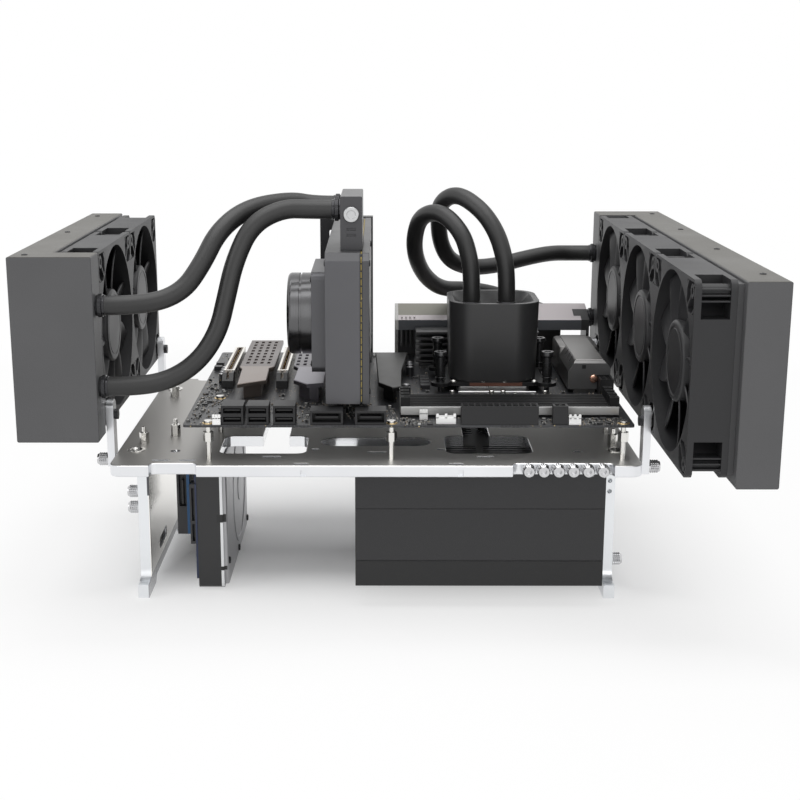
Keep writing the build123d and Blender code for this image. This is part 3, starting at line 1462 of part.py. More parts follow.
with BuildPart() as hard_drive:
    cover_start = hard_drive_body[1] - drive_cover_thickness
    with BuildSketch(Plane.YZ.offset(hard_drive_body[0])):
        with Locations(hard_drive_middle):
            RectangleRounded(hard_drive_length, hard_drive_width, hard_drive_corner)
    extrude(amount=cover_start - hard_drive_body[0])
    with BuildSketch(Plane.YZ.offset(cover_start)):
        with Locations(hard_drive_middle):
            cover_length = hard_drive_length - 2 * drive_cover_inset
            cover_width = hard_drive_width - 2 * drive_cover_inset
            RectangleRounded(cover_length, cover_width, drive_cover_corner)
        # The cover narrows at the lower front corner
        with Locations((hard_drive_rows[0], hard_drive_heights[0])):
            Rectangle(2 * drive_cover_notch[0], 2 * drive_cover_notch[1], mode=Mode.SUBTRACT)
    extrude(amount=drive_cover_thickness)
    chamfer(hard_drive.faces().sort_by(Axis.X)[-1].edges(), drive_cover_chamfer)
    # Raised ring and hub over the discs
    with BuildSketch(Plane.YZ.offset(hard_drive_body[1] - 1)):
        with Locations(disc_middle):
            Circle(disc_ring[0])
            Circle(disc_ring[1], mode=Mode.SUBTRACT)
            Circle(disc_hub)
    extrude(amount=1 + disc_rise)
hard_drive.part.label = "hard_drive"
export_step(hard_drive.part, "parts/hard_drive.step")

with BuildPart() as hard_drive_board:
    board_face = hard_drive_body[0] - drive_board_thickness
    block((board_face, hard_drive_body[0]), drive_board_rows, drive_board_heights)
    socket_ends = (board_face - drive_socket_depth, hard_drive_body[0])
    block(socket_ends, drive_socket_rows, drive_socket_heights)
    slot_rows = (drive_socket_rows[0], drive_socket_rows[0] + 5)
    for heights in drive_slot_heights:
        block((board_face - 2, board_face - 0.2), slot_rows, heights, Mode.SUBTRACT)
    for row, height, size in drive_chips:
        block((board_face - drive_chip_rise, board_face), span(row, size), span(height, size))
hard_drive_board.part.label = "hard_drive_board"
export_step(hard_drive_board.part, "parts/hard_drive_board.step")

# Power supply under the deck: sheet case with its grille on top, and its fan below it
supply_rows = (-73.0, 77.0)
supply_ends = (leg_inner - 178.0, leg_inner)
supply_height = 86.0
supply_bottom = deck_bottom - supply_height
supply_wall = 1.2
supply_fillet = 1.2
grille_radius = fan_size / 2 - 2
grille_pitch = 6.0
grille_slot = 3.2
grille_place = (sum(supply_ends) / 2, sum(supply_rows) / 2)
grille_hub = 18.0
grille_rib = 5.0
seams = [(37.0, 0.8, 0.6), (75.0, 0.5, 0.3)]
vents_middle = (-16.0, 61.0)
vents = (5.0, 5.0, 3, 10)
vent_width = 3.0
rocker_place = (6.0, 62.0)
rocker_cavity = (14.0, 21.0)
rocker_frame = 2.5
rocker_depth = 8.0
rocker_back = 2.0
rocker_axis_depth = 3.0
rocker_pin_radius = 1.0
rocker_pin_clearance = 0.2
rocker_pin_bore = 1.5
rocker_pin_reach = 1.3
rocker_side_gap = 0.4
rocker_end_gap = 0.9
rocker_proud = 2.6
rocker_saddle = 1.4
rocker_heel = 2.0
inlet_place = (40.0, 62.0)
inlet_body = (25.0, 20.0)
inlet_depth = 16.0
inlet_wall = 1.5
inlet_back = 2.0
inlet_pins = [(-7.0, -2.0), (0.0, 2.0), (7.0, -2.0)]
inlet_pin_size = (2.0, 4.0)
inlet_pin_setback = 3.0
supply_right = supply_ends[1]

with BuildPart() as psu_case:
    block(supply_ends, supply_rows, (supply_bottom, deck_bottom))
    fillet(psu_case.edges().filter_by(Axis.X), supply_fillet)
    inside_ends = (supply_ends[0] + supply_wall, supply_ends[1] - supply_wall)
    inside_rows = (supply_rows[0] + supply_wall, supply_rows[1] - supply_wall)
    inside_heights = (supply_bottom + supply_wall, deck_bottom - supply_wall)
    block(inside_ends, inside_rows, inside_heights, Mode.SUBTRACT)
    # Grille: rows of slots cut to a circle, parted by a rib and the middle plate
    with BuildSketch(Plane.XY.offset(deck_bottom - supply_wall)):
        with Locations(grille_place):
            slot_rows = int(grille_radius / grille_pitch)
            for number in range(-slot_rows, slot_rows + 1):
                offset_row = number * grille_pitch
                half_length = sqrt(grille_radius**2 - offset_row**2)
                with Locations((0, offset_row)):
                    Rectangle(2 * half_length, grille_slot)
            Rectangle(grille_rib, 2 * grille_radius + grille_slot, mode=Mode.SUBTRACT)
            Circle(grille_hub, mode=Mode.SUBTRACT)
    extrude(amount=supply_wall, mode=Mode.SUBTRACT)
    # Seams on the front
    for height, width, depth in seams:
        seam_rows = (supply_rows[0], supply_rows[0] + depth)
        block(supply_ends, seam_rows, span(height, width), Mode.SUBTRACT)
    # Housing of the rocker switch
    rocker_rows = span(rocker_place[0], rocker_cavity[0])
    rocker_heights = span(rocker_place[1], rocker_cavity[1])
    outer_rows = span(rocker_place[0], rocker_cavity[0] + 2 * rocker_frame)
    outer_heights = span(rocker_place[1], rocker_cavity[1] + 2 * rocker_frame)
    cavity_end = supply_right - rocker_depth
    block((cavity_end - rocker_back, supply_right), outer_rows, outer_heights)
    block((cavity_end, supply_right), rocker_rows, rocker_heights, Mode.SUBTRACT)
    with BuildSketch(Plane.XZ.offset(-(rocker_rows[0] - rocker_pin_bore))):
        with Locations((supply_right - rocker_axis_depth, rocker_place[1])):
            Circle(rocker_pin_radius + rocker_pin_clearance)
    extrude(amount=-(rocker_cavity[0] + 2 * rocker_pin_bore), mode=Mode.SUBTRACT)
    # Opening for the mains inlet, and vents beside it
    body_rows = span(inlet_place[0], inlet_body[0])
    body_heights = span(inlet_place[1], inlet_body[1])
    block((supply_right - supply_wall, supply_right), body_rows, body_heights, Mode.SUBTRACT)
    with BuildSketch(Plane.YZ.offset(supply_right - supply_wall)):
        with Locations(vents_middle):
            with GridLocations(*vents):
                Rectangle(vent_width, vent_width)
    extrude(amount=supply_wall, mode=Mode.SUBTRACT)
    # Fan frame, screwed up against the grille
    frame_plane = Plane((*grille_place, deck_bottom - supply_wall), x_dir=(1, 0, 0), z_dir=(0, 0, -1))
    add(frame_plane.location * fan_frame.part)
psu_case.part.label = "psu_case"
export_step(psu_case.part, "parts/psu_case.step")

with BuildPart() as psu_fan_rotor:
    add(frame_plane.location * fan_rotor.part)
psu_fan_rotor.part.label = "psu_fan_rotor"
export_step(psu_fan_rotor.part, "parts/psu_fan_rotor.step")

# Rocker of the switch, on its pin
rocker_half = rocker_cavity[1] / 2 - rocker_end_gap
rocker_width = rocker_cavity[0] - 2 * rocker_side_gap
rocker_axis = supply_right - rocker_axis_depth

with BuildPart() as psu_rocker:
    with BuildSketch(Plane.XZ.offset(-(rocker_place[0] - rocker_width / 2))):
        with BuildLine():
            Polyline(
                (rocker_axis - rocker_heel, rocker_place[1] - rocker_half + rocker_heel),
                (rocker_axis + rocker_proud, rocker_place[1] - rocker_half),
                (rocker_axis + rocker_saddle, rocker_place[1]),
                (rocker_axis + rocker_proud, rocker_place[1] + rocker_half),
                (rocker_axis - rocker_heel, rocker_place[1] + rocker_half - rocker_heel),
                close=True,
            )
        make_face()
    extrude(amount=-rocker_width)
    with BuildSketch(Plane.XZ.offset(-(rocker_rows[0] - rocker_pin_reach))):
        with Locations((rocker_axis, rocker_place[1])):
            Circle(rocker_pin_radius)
    extrude(amount=-(rocker_cavity[0] + 2 * rocker_pin_reach))
psu_rocker.part.label = "psu_rocker"
export_step(psu_rocker.part, "parts/psu_rocker.step")

# Mains inlet: a socket with three pins
with BuildPart() as psu_inlet:
    inlet_rear = supply_right - inlet_depth
    block((inlet_rear, supply_right), body_rows, body_heights)
    cavity_rows = span(inlet_place[0], inlet_body[0] - 2 * inlet_wall)
    cavity_heights = span(inlet_place[1], inlet_body[1] - 2 * inlet_wall)
    block((inlet_rear + inlet_back, supply_right), cavity_rows, cavity_heights, Mode.SUBTRACT)
    for row, height in inlet_pins:
        pin_rows = span(inlet_place[0] + row, inlet_pin_size[0])
        pin_heights = span(inlet_place[1] + height, inlet_pin_size[1])
        block((inlet_rear + 1, supply_right - inlet_pin_setback), pin_rows, pin_heights)
psu_inlet.part.label = "psu_inlet"
export_step(psu_inlet.part, "parts/psu_inlet.step")
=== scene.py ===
import bpy
import math
import random
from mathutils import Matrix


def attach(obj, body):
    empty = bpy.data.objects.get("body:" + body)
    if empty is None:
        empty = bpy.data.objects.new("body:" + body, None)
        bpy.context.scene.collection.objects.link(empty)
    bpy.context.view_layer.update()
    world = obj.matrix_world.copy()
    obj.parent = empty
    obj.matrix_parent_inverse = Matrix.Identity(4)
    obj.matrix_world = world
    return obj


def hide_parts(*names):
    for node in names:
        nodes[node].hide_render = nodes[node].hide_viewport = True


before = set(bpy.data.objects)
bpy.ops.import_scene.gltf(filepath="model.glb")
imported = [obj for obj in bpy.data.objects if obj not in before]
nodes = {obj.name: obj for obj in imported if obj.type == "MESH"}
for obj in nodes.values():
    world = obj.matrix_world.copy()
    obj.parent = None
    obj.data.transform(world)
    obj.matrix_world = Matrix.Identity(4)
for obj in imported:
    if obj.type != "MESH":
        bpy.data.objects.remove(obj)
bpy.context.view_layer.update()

# Studio: a white sweep under a large soft box overhead, with a dim wall of light in front.
# The sweep is painted board. It fades to pure white away from the bench and keeps its shadow.
sweep_size = 60.0
pure_white, board_white = (1, 1, 1, 1), (0.93, 0.93, 0.93, 1)
room_level = 0.5
shadow_start, shadow_reach = 0.38, 1.0
# Painted light: the glow along Y and X lifts the shadow on the sweep, in front of and beside the
# bench.
front_glow = ((-0.200, 0.90), (-0.125, 0.62), (-0.073, 0.66), (-0.054, 0.65), (-0.034, 0.55),
              (0.006, 0.18), (0.051, 0.05), (0.100, 0.12), (0.153, 0.14), (0.220, 0.22))
side_glow = ((0.140, 0.0), (0.190, 0.52), (0.240, 0.66), (0.320, 0.90))


def shader_node(tree, kind, sockets=None, **settings):
    """Adds a shader node with its settings, and gives its sockets a value or a link each."""
    made = tree.nodes.new("ShaderNode" + kind)
    for setting, value in settings.items():
        setattr(made, setting, value)
    for socket, value in (sockets or {}).items():
        if isinstance(value, bpy.types.NodeSocket):
            tree.links.new(value, made.inputs[socket])
        else:
            made.inputs[socket].default_value = value
    return made


def maths(tree, operation, *terms):
    """Result of a Math node, whose terms are sockets or plain numbers."""
    return shader_node(tree, "Math", dict(enumerate(terms)), operation=operation).outputs[0]


def seen_directly(tree):
    """Mask of the rays from the camera, from glossy surfaces and through glass."""
    path = shader_node(tree, "LightPath").outputs
    direct = maths(tree, "MAXIMUM", path["Is Camera Ray"], path["Is Glossy Ray"])
    return maths(tree, "MAXIMUM", direct, path["Is Transmission Ray"])


bpy.ops.object.select_all(action="DESELECT")
bpy.ops.mesh.primitive_plane_add(size=sweep_size, location=(0, 0, 0))
sweep = bpy.context.object
sweep.name = "studio_floor"
paint = bpy.data.materials.new("studio_white")
paint.use_nodes = True
tree = paint.node_tree
tree.nodes.clear()
place = shader_node(tree, "TexCoord").outputs["Object"]
reach = shader_node(tree, "VectorMath", {0: place}, operation="LENGTH").outputs["Value"]
fade = shader_node(tree, "MapRange", {"Value": reach, "From Min": shadow_start,
                                      "From Max": shadow_reach}, interpolation_type="SMOOTHSTEP")
spot = shader_node(tree, "SeparateXYZ", {0: place}).outputs
glow = fade.outputs["Result"]
for stops, source in ((front_glow, spot["Y"]), (side_glow, maths(tree, "ABSOLUTE", spot["X"]))):
    start, end = stops[0][0], stops[-1][0]
    along = shader_node(tree, "MapRange", {"Value": source, "From Min": start, "From Max": end})
    ramp = shader_node(tree, "ValToRGB", {"Fac": along.outputs["Result"]})
    points = ramp.color_ramp.elements
    while len(points) < len(stops):
        points.new(0.5)
    for point, (reached, value) in zip(points, stops):
        point.position = (reached - start) / (end - start)
        point.color = (value, value, value, 1)
    glow = maths(tree, "MAXIMUM", glow, ramp.outputs["Color"])
matte = shader_node(tree, "BsdfDiffuse", {"Color": board_white})
white = shader_node(tree, "Emission", {"Color": pure_white, "Strength": 1.0})
share = maths(tree, "MULTIPLY", glow, seen_directly(tree))
blend = shader_node(tree, "MixShader", {"Fac": share, 1: matte.outputs["BSDF"],
                                        2: white.outputs["Emission"]})
shader_node(tree, "OutputMaterial", {"Surface": blend.outputs["Shader"]})
sweep.data.materials.append(paint)

room = bpy.data.worlds.new("studio_room")
bpy.context.scene.world = room
room.use_nodes = True
tree = room.node_tree
tree.nodes.clear()
level = shader_node(tree, "MapRange", {"Value": seen_directly(tree), "To Min": room_level,
                                       "To Max": 1.0}).outputs["Result"]
background = shader_node(tree, "Background", {"Color": pure_white, "Strength": level})
shader_node(tree, "OutputWorld", {"Surface": background.outputs["Background"]})

lamps = {
    "overhead_box": ((0.0, -0.15, 1.9), (0, 0, 0), 1.9, 24.0),
    "left_box": ((-1.8, -0.9, 1.1), (math.radians(62), 0, math.radians(-62)), 1.2, 7.0),
    "front_wall": ((0.5, -2.3, 0.9), (math.radians(74), 0, math.radians(12)), 1.6, 7.0),
}
for lamp_name, (spot, turn, width, power) in lamps.items():
    bpy.ops.object.light_add(type="AREA", location=spot, rotation=turn)
    lamp = bpy.context.object
    lamp.name = lamp_name
    lamp.data.shape = "SQUARE"
    lamp.data.size = width
    lamp.data.energy = power

# Camera: level with the front of the bench, a little above it and looking slightly down.
# Its lens and shift follow the standard sizes of the board, fans and power supply.
camera_spot = (0.00266, -0.98519, 0.37269)
camera_pitch, camera_yaw = 0.2369, 0.0027
camera_film, camera_lens, camera_shift, camera_near = 36.0, 62.18, 0.0295, 0.05
bpy.ops.object.camera_add(location=camera_spot,
                          rotation=(math.pi / 2 - camera_pitch, 0, camera_yaw))
camera = bpy.context.object
camera.name = "camera"
camera.data.sensor_width = camera_film
camera.data.lens = camera_lens
camera.data.shift_x = camera_shift
camera.data.clip_start = camera_near
bpy.context.scene.camera = camera
bpy.context.scene.view_settings.view_transform = "Standard"

# Bench: plates milled from aluminium, blasted and clear anodised, with every edge broken.
# The deck sits on the legs and is screwed to them through four flanged bushes. Four flat
# posts at its side edges carry the radiators.
grain_detail, cloud_scale, cloud_detail, relief_height = 3.0, 22.0, 4.0, 0.001
near_level, smooth_angle, sharp_angle, fine_bevel = 0.9, math.radians(35), math.radians(50), 0.0002


def effect_group(name, inputs, outputs):
    """Empty shader group with named sockets: the group, what it is given and what it gives."""
    group = bpy.data.node_groups.new(name, "ShaderNodeTree")
    for side, sockets in (("INPUT", inputs), ("OUTPUT", outputs)):
        for socket_name, kind in sockets:
            group.interface.new_socket(socket_name, in_out=side, socket_type="NodeSocket" + kind)
    given, gives = group.nodes.new("NodeGroupInput"), group.nodes.new("NodeGroupOutput")
    return group, given.outputs, gives.inputs


fine_grain, given, gives = effect_group(
    "fine_grain",
    (("Colour", "Color"), ("Tint", "Float"), ("Size", "Float"), ("Stretch", "Vector"),
     ("Roughness", "Float"), ("Spread", "Float")),
    (("Colour", "Color"), ("Roughness", "Float"), ("Height", "Float")))
place = shader_node(fine_grain, "TexCoord").outputs["Object"]
drawn = shader_node(fine_grain, "VectorMath", {0: place, 1: given["Stretch"]},
                    operation="MULTIPLY").outputs[0]
fine = shader_node(fine_grain, "TexNoise", {"Vector": drawn, "Scale": given["Size"],
                                            "Detail": grain_detail})
cloud = shader_node(fine_grain, "TexNoise", {"Vector": drawn, "Scale": cloud_scale,
                                             "Detail": cloud_detail})
centred = maths(fine_grain, "SUBTRACT", cloud.outputs["Fac"], 0.5)
tinted = maths(fine_grain, "MULTIPLY_ADD", centred, given["Tint"], 1.0)
gloss = maths(fine_grain, "MULTIPLY_ADD", centred, given["Spread"], given["Roughness"])
shade = shader_node(fine_grain, "Mix", {"Factor": 1.0, "A": given["Colour"], "B": tinted},
                    data_type="RGBA", blend_type="MULTIPLY")
fine_grain.links.new(shade.outputs["Result"], gives["Colour"])
fine_grain.links.new(gloss, gives["Roughness"])
fine_grain.links.new(fine.outputs["Fac"], gives["Height"])


def finish(name, colour, roughness, metallic=0.0, size=1500.0, depth=0.04, tint=0.25, spread=0.2,
           round_edge=0.0003, stretch=(1, 1, 1), shine=0.5):
    """Material with a fine grain: size is its fineness, depth how far it stands up."""
    made = bpy.data.materials.new(name)
    made.use_nodes = True
    wires = made.node_tree
    surface = wires.nodes["Principled BSDF"].inputs
    surface["Metallic"].default_value = metallic
    surface["Specular IOR Level"].default_value = shine
    texture = shader_node(wires, "Group", {
        "Colour": (*colour, 1), "Tint": tint, "Size": size, "Stretch": stretch,
        "Roughness": roughness, "Spread": spread}, node_tree=fine_grain).outputs
    relief = shader_node(wires, "Bump", {"Strength": depth, "Distance": relief_height,
                                         "Height": texture["Height"]})
    if round_edge:
        corner = shader_node(wires, "Bevel", {"Radius": round_edge}, samples=4)
        wires.links.new(corner.outputs["Normal"], relief.inputs["Normal"])
    wires.links.new(texture["Colour"], surface["Base Color"])
    wires.links.new(texture["Roughness"], surface["Roughness"])
    wires.links.new(relief.outputs["Normal"], surface["Normal"])
    return made


def overlay(made, mask, colour, metallic=None, roughness=None):
    """Lays a second colour over a material where the mask is one, with its metal and gloss."""
    wires = made.node_tree
    surface = wires.nodes["Principled BSDF"].inputs
    under = surface["Base Color"].links[0].from_socket
    over = shader_node(wires, "Mix", {"Factor": mask, "A": under, "B": (*colour, 1)},
                       data_type="RGBA")
    wires.links.new(over.outputs["Result"], surface["Base Color"])
    for socket_name, value in (("Metallic", metallic), ("Roughness", roughness)):
        if value is not None:
            socket = surface[socket_name]
            under = socket.links[0].from_socket if socket.links else socket.default_value
            changed = shader_node(wires, "Mix", {"Factor": mask, "A": under, "B": value})
            wires.links.new(changed.outputs["Result"], socket)


box_zone, given, gives = effect_group("box_zone", (("Middle", "Vector"), ("Half", "Vector")),
                                      (("Mask", "Float"),))
beyond = shader_node(box_zone, "TexCoord").outputs["Object"]
for operation, term in (("SUBTRACT", given["Middle"]), ("ABSOLUTE", None),
                        ("SUBTRACT", given["Half"])):
    terms = {0: beyond} if term is None else {0: beyond, 1: term}
    beyond = shader_node(box_zone, "VectorMath", terms, operation=operation).outputs[0]
parts = shader_node(box_zone, "SeparateXYZ", {0: beyond}).outputs
largest = maths(box_zone, "MAXIMUM", maths(box_zone, "MAXIMUM", parts["X"], parts["Y"]), parts["Z"])
box_zone.links.new(maths(box_zone, "LESS_THAN", largest, 0.0), gives["Mask"])


def patch(made, low, high, colour, metallic=None, roughness=None):
    """Gives the part of a piece between two corners a colour of its own."""
    zone = shader_node(made.node_tree, "Group", {
        "Middle": [(a + b) / 2 for a, b in zip(low, high)],
        "Half": [(b - a) / 2 for a, b in zip(low, high)]}, node_tree=box_zone)
    overlay(made, zone.outputs["Mask"], colour, metallic, roughness)


def dress(material, *names):
    """Gives CAD nodes their material."""
    for node_name in names:
        nodes[node_name].data.materials.clear()
        nodes[node_name].data.materials.append(material)


def alone(piece):
    """Makes a piece the only one selected."""
    bpy.ops.object.select_all(action="DESELECT")
    piece.select_set(True)
    bpy.context.view_layer.objects.active = piece


def edit_all():
    """Opens the active piece in edit mode, with all of it selected."""
    bpy.ops.object.mode_set(mode="EDIT")
    bpy.ops.mesh.select_all(action="SELECT")


def done_editing():
    """Puts the active piece back in object mode."""
    bpy.ops.object.mode_set(mode="OBJECT")


def choose(piece, kind, wanted):
    """Opens a piece with only the faces or points selected that the test accepts."""
    bpy.ops.object.mode_set(mode="EDIT")
    bpy.ops.mesh.select_mode(type=kind)
    bpy.ops.mesh.select_all(action="DESELECT")
    done_editing()
    for part in piece.data.polygons if kind == "FACE" else piece.data.vertices:
        part.select = wanted(part)
    bpy.ops.object.mode_set(mode="EDIT")


def looks_up(face):
    """Accepts the faces that look up."""
    return face.normal.z > near_level


def looks_down(face):
    """Accepts the faces that look down."""
    return face.normal.z < -near_level


def extrude_up(height):
    """Draws the selected faces out along Z."""
    bpy.ops.mesh.extrude_region_move(TRANSFORM_OT_translate={"value": (0, 0, height)})


def turned(name, rings, sides=40):
    """Round piece about Z: a cylinder of its first two rings, drawn out from ring to ring."""
    (radius, low), (_, level) = rings[:2]
    bpy.ops.mesh.primitive_cylinder_add(vertices=sides, radius=radius, depth=level - low,
                                        location=(0, 0, (low + level) / 2))
    piece = bpy.context.object
    piece.name = name
    bpy.ops.object.transform_apply()
    choose(piece, "FACE", looks_up)
    for next_radius, next_level in rings[2:]:
        extrude_up(next_level - level)
        share = next_radius / radius
        bpy.ops.transform.resize(value=(share, share, 1), center_override=(0, 0, 0))
        radius, level = next_radius, next_level
    done_editing()
    return piece


def repeated(piece, name, places):
    """Copies of a piece, each with its own mesh at its spot and turn, joined to one piece."""
    twins = []
    for spot, turn in places:
        twin = piece.copy()
        twin.data = piece.data.copy()
        twin.location = spot
        twin.rotation_euler = turn
        bpy.context.collection.objects.link(twin)
        twins.append(twin)
    bpy.data.objects.remove(piece)
    return joined(name, twins)


def joined(name, parts):
    """Joins parts to one piece, with its place in its mesh."""
    bpy.ops.object.select_all(action="DESELECT")
    for part in parts:
        part.select_set(True)
    bpy.context.view_layer.objects.active = parts[0]
    if len(parts) > 1:
        bpy.ops.object.join()
    whole = bpy.context.object
    bpy.ops.object.transform_apply()
    whole.name = name
    return whole


def fit(piece, material, body="bench"):
    """Smooths a piece, gives it its material, and lets it ride on its body."""
    alone(piece)
    bpy.ops.object.transform_apply()
    bpy.ops.object.shade_smooth_by_angle(angle=smooth_angle)
    if not piece.data.materials:
        piece.data.materials.append(material)
    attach(piece, body)


def standing(spots, level=0.0):
    """Upright places for copies of a piece, at one level."""
    return [((x, y, level), (0, 0, 0)) for x, y in spots]


def turned_set(name, rings, places, material, sides=20):
    """Turned pieces alike, joined at their places, with their material."""
    fit(repeated(turned(name, rings, sides), name, places), material)


aluminium = (0.80, 0.81, 0.83)
anodised = finish("anodised_aluminium", aluminium, 0.32, metallic=1.0, size=2600, depth=0.03,
                  tint=0.06)
dress(anodised, "front_left_post", "rear_left_post", "front_right_post", "rear_right_post")
deck_top, deck_face, far = 0.112, 0.11175, 1
reflection_start, reflection_end = -0.155, -0.045
lit_walls_low, lit_walls_high = (-0.165, -0.085, 0.1035), (0.165, 0.160, 0.11174)
deck_satin_with_painted_light = finish("deck_anodised", aluminium, 0.32, metallic=1.0, size=2600, depth=0.03,
                    tint=0.10)
# Painted shade: the top face is darker than the edges, in place of the dark reflection it shows.
patch(deck_satin_with_painted_light, (-far, -far, deck_face), (far, far, 0.2), (0.38, 0.37, 0.355), roughness=0.44)
# Painted light: the walls of the openings are pale and less metallic, to look lit.
patch(deck_satin_with_painted_light, lit_walls_low, lit_walls_high, (0.92, 0.93, 0.95), metallic=0.75, roughness=0.12)
# Painted reflection: the top is pale from X -0.045 rightwards, fading to the darker top towards X
# -0.155.
deck_wires = deck_satin_with_painted_light.node_tree
place = shader_node(deck_wires, "TexCoord").outputs["Object"]
parts = shader_node(deck_wires, "SeparateXYZ", {0: place}).outputs
painted_reflection = shader_node(deck_wires, "MapRange", {"Value": parts["X"], "From Min": reflection_start,
                                             "From Max": reflection_end}).outputs["Result"]
topmost = maths(deck_wires, "GREATER_THAN", parts["Z"], deck_face)
overlay(deck_satin_with_painted_light, maths(deck_wires, "MULTIPLY", painted_reflection, topmost), (0.84, 0.83, 0.81))
dress(deck_satin_with_painted_light, "deck_plate")
leg_satin_with_painted_light = finish("leg_anodised", (0.84, 0.86, 0.88), 0.36, metallic=0.95, size=2600, depth=0.03,
                   tint=0.06)
face_left, face_right, leg_top, foot_top = -0.1640, -0.1625, 0.104, 0.012
# Painted light: the inner face of the left leg is cream and mirror-bright, so it looks lit. Below
# it a darker band runs along the foot, and a dark line on its front edge is a painted reflection.
patch(leg_satin_with_painted_light, (face_left, -far, 0), (face_right, far, leg_top), (0.97, 0.95, 0.90),
      metallic=1.0, roughness=0.10)
patch(leg_satin_with_painted_light, (face_left, -far, 0), (face_right, far, foot_top), (0.45, 0.45, 0.47),
      metallic=0.4)
patch(leg_satin_with_painted_light, (-0.1648, -0.0355, 0.014), (face_right, -0.0335, leg_top), (0.10, 0.10, 0.11))
dress(leg_satin_with_painted_light, "left_leg", "right_leg")
bright_steel = finish("bright_steel", (0.78, 0.77, 0.74), 0.24, metallic=1.0, size=3000, tint=0.1)
leg_screw_spots = [(x, y) for x in (-0.1675, 0.1675) for y in (-0.0548, 0.1328)]
bush_rings = [(0.0020, -0.0078), (0.0020, -0.0024), (0.0041, -0.0001), (0.0063, -0.0001),
              (0.0063, 0.0005), (0.0060, 0.0008), (0.0043, 0.0008), (0.0040, 0.0005),
              (0.0026, -0.0014)]
turned_set("leg_bushes", bush_rings, standing(leg_screw_spots, deck_top), bright_steel,
           sides=40)

# Thumb screws: turned steel with a crossed knurl, a domed end and a socket. Four hold the
# posts, six are parked in the front edge, and the others wait in the legs.
knob_radius, knob_length, knob_end, knob_taper = 0.0047, 0.008, 0.0012, 0.86
knurl_turns, knurl_rings, knurl_depth = 20, 4, 0.0006
thread_radius, thread_length = 0.00145, 0.006
socket_radius, socket_depth = 0.0019, 0.003
bpy.ops.mesh.primitive_cylinder_add(vertices=knurl_turns, radius=knob_radius - knurl_depth,
                                    depth=knob_length, location=(0, 0, knob_length / 2))
knob = bpy.context.object
bpy.ops.object.transform_apply()
for ring in range(knurl_rings + 1):
    level_z = knob_end + ring * (knob_length - 2 * knob_end) / knurl_rings
    edit_all()
    bpy.ops.mesh.bisect(plane_co=(0, 0, level_z), plane_no=(0, 0, 1))
choose(knob, "FACE", lambda face: abs(face.normal.z) < 0.5
       and knob_end < face.center.z < knob_length - knob_end)
bpy.ops.mesh.poke(offset=knurl_depth)
choose(knob, "FACE", looks_up)
bpy.ops.transform.resize(value=(knob_taper, knob_taper, 1), center_override=(0, 0, knob_length))
bpy.ops.mesh.inset(thickness=knob_radius * knob_taper - knurl_depth - socket_radius)
extrude_up(-socket_depth)
choose(knob, "FACE", looks_down)
bpy.ops.mesh.inset(thickness=knob_radius - knurl_depth - thread_radius)
extrude_up(-thread_length)
done_editing()
parked_start, parked_pitch, parked_row = 0.1029, 0.01, -0.0875
edge_level, edge_side, leg_side = 0.108, 0.185, 0.1715
facing_front = (math.pi / 2, 0, 0)
facing_right, facing_left = (0, math.pi / 2, 0), (0, -math.pi / 2, 0)
knob_places = [((parked_start + parked_pitch * number, parked_row, edge_level), facing_front)
               for number in range(6)]
knob_places += [((-edge_side, y, edge_level), facing_left) for y in (-0.063, 0.162)]
knob_places += [((edge_side, y, edge_level), facing_right) for y in (-0.0805, 0.1595)]
knob_places += [((leg_side, y, z), facing_right) for y, z in ((-0.027, 0.022), (-0.0265, 0.097))]
knob_places += [((-leg_side, -0.029, z), facing_left) for z in (0.062, 0.074)]
knobs = repeated(knob, "knurled_screws", knob_places)
chrome = finish("chromed_steel", (0.60, 0.60, 0.61), 0.14, metallic=1.0, size=3200, depth=0.02,
                tint=0.06, spread=0.1)
fit(knobs, chrome)
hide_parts("thumb_screws")

# Small hardware: turned standoffs with a hexagon, and button screws blackened with oxide.
# The standoffs are screwed into the deck, and each holds a hole of the board.
black_oxide = finish("black_oxide", (0.03, 0.03, 0.032), 0.38, metallic=0.6, size=2500)
dress(bright_steel, "standoffs", "board_screws")
dress(black_oxide, "post_screws")

# Fans: frame and rotor are moulded in glass-filled black plastic, slightly satin. A rotor is
# a cup over the motor, with nine thin swept blades that stop a millimetre short of the duct.
# Thin ribs, moulded with the frame, cross the windows of its corners.
frame_plastic = finish("fan_frame_plastic", (0.020, 0.020, 0.0215), 0.46, size=1800, depth=0.08,
                       shine=0.38)
rotor_plastic = finish("fan_rotor_plastic", (0.022, 0.022, 0.0235), 0.40, size=1800, depth=0.05,
                       shine=0.38)
hub_plastic_sheen_and_shade = finish("fan_hub_plastic", (0.050, 0.050, 0.052), 0.40, size=2400, depth=0.03,
                     shine=0.22)
# Painted sheen and shade: the hub badges are a lighter grey for their sheen, and darker on the
# right side, X > 0, as if in shade.
patch(hub_plastic_sheen_and_shade, (0, -far, 0), (far, far, far), (0.017, 0.017, 0.018))
dress(frame_plastic, *[name for name in nodes if name.endswith("_frame")])
hub_radius, tip_radius = 0.026, 0.0563
rotor_front, rotor_rear, blade_middle = 0.0025, 0.0207, 0.0116
blade_turn, blade_sweep, sweep_power = math.radians(37), math.radians(13), 1.3
blade_rise, blade_sag, blade_skin, blade_root = 0.0068, 0.0016, 0.0013, 0.0012
blade_columns, blade_rows, blade_count = 10, 7, 9
strip_width, blade_edge, same_angle, same_radius = 0.001, 0.0004, 0.002, 0.00004
hub_wall, hub_hollow, badge_margin, badge_drop = 0.002, 0.012, 0.0056, 0.0002


def shaped(piece, kind, **settings):
    """Adds a modifier with its settings to a piece and applies it."""
    alone(piece)
    step = piece.modifiers.new(kind.lower(), kind)
    for setting, value in settings.items():
        setattr(step, setting, value)
    bpy.ops.object.modifier_apply(modifier=step.name)


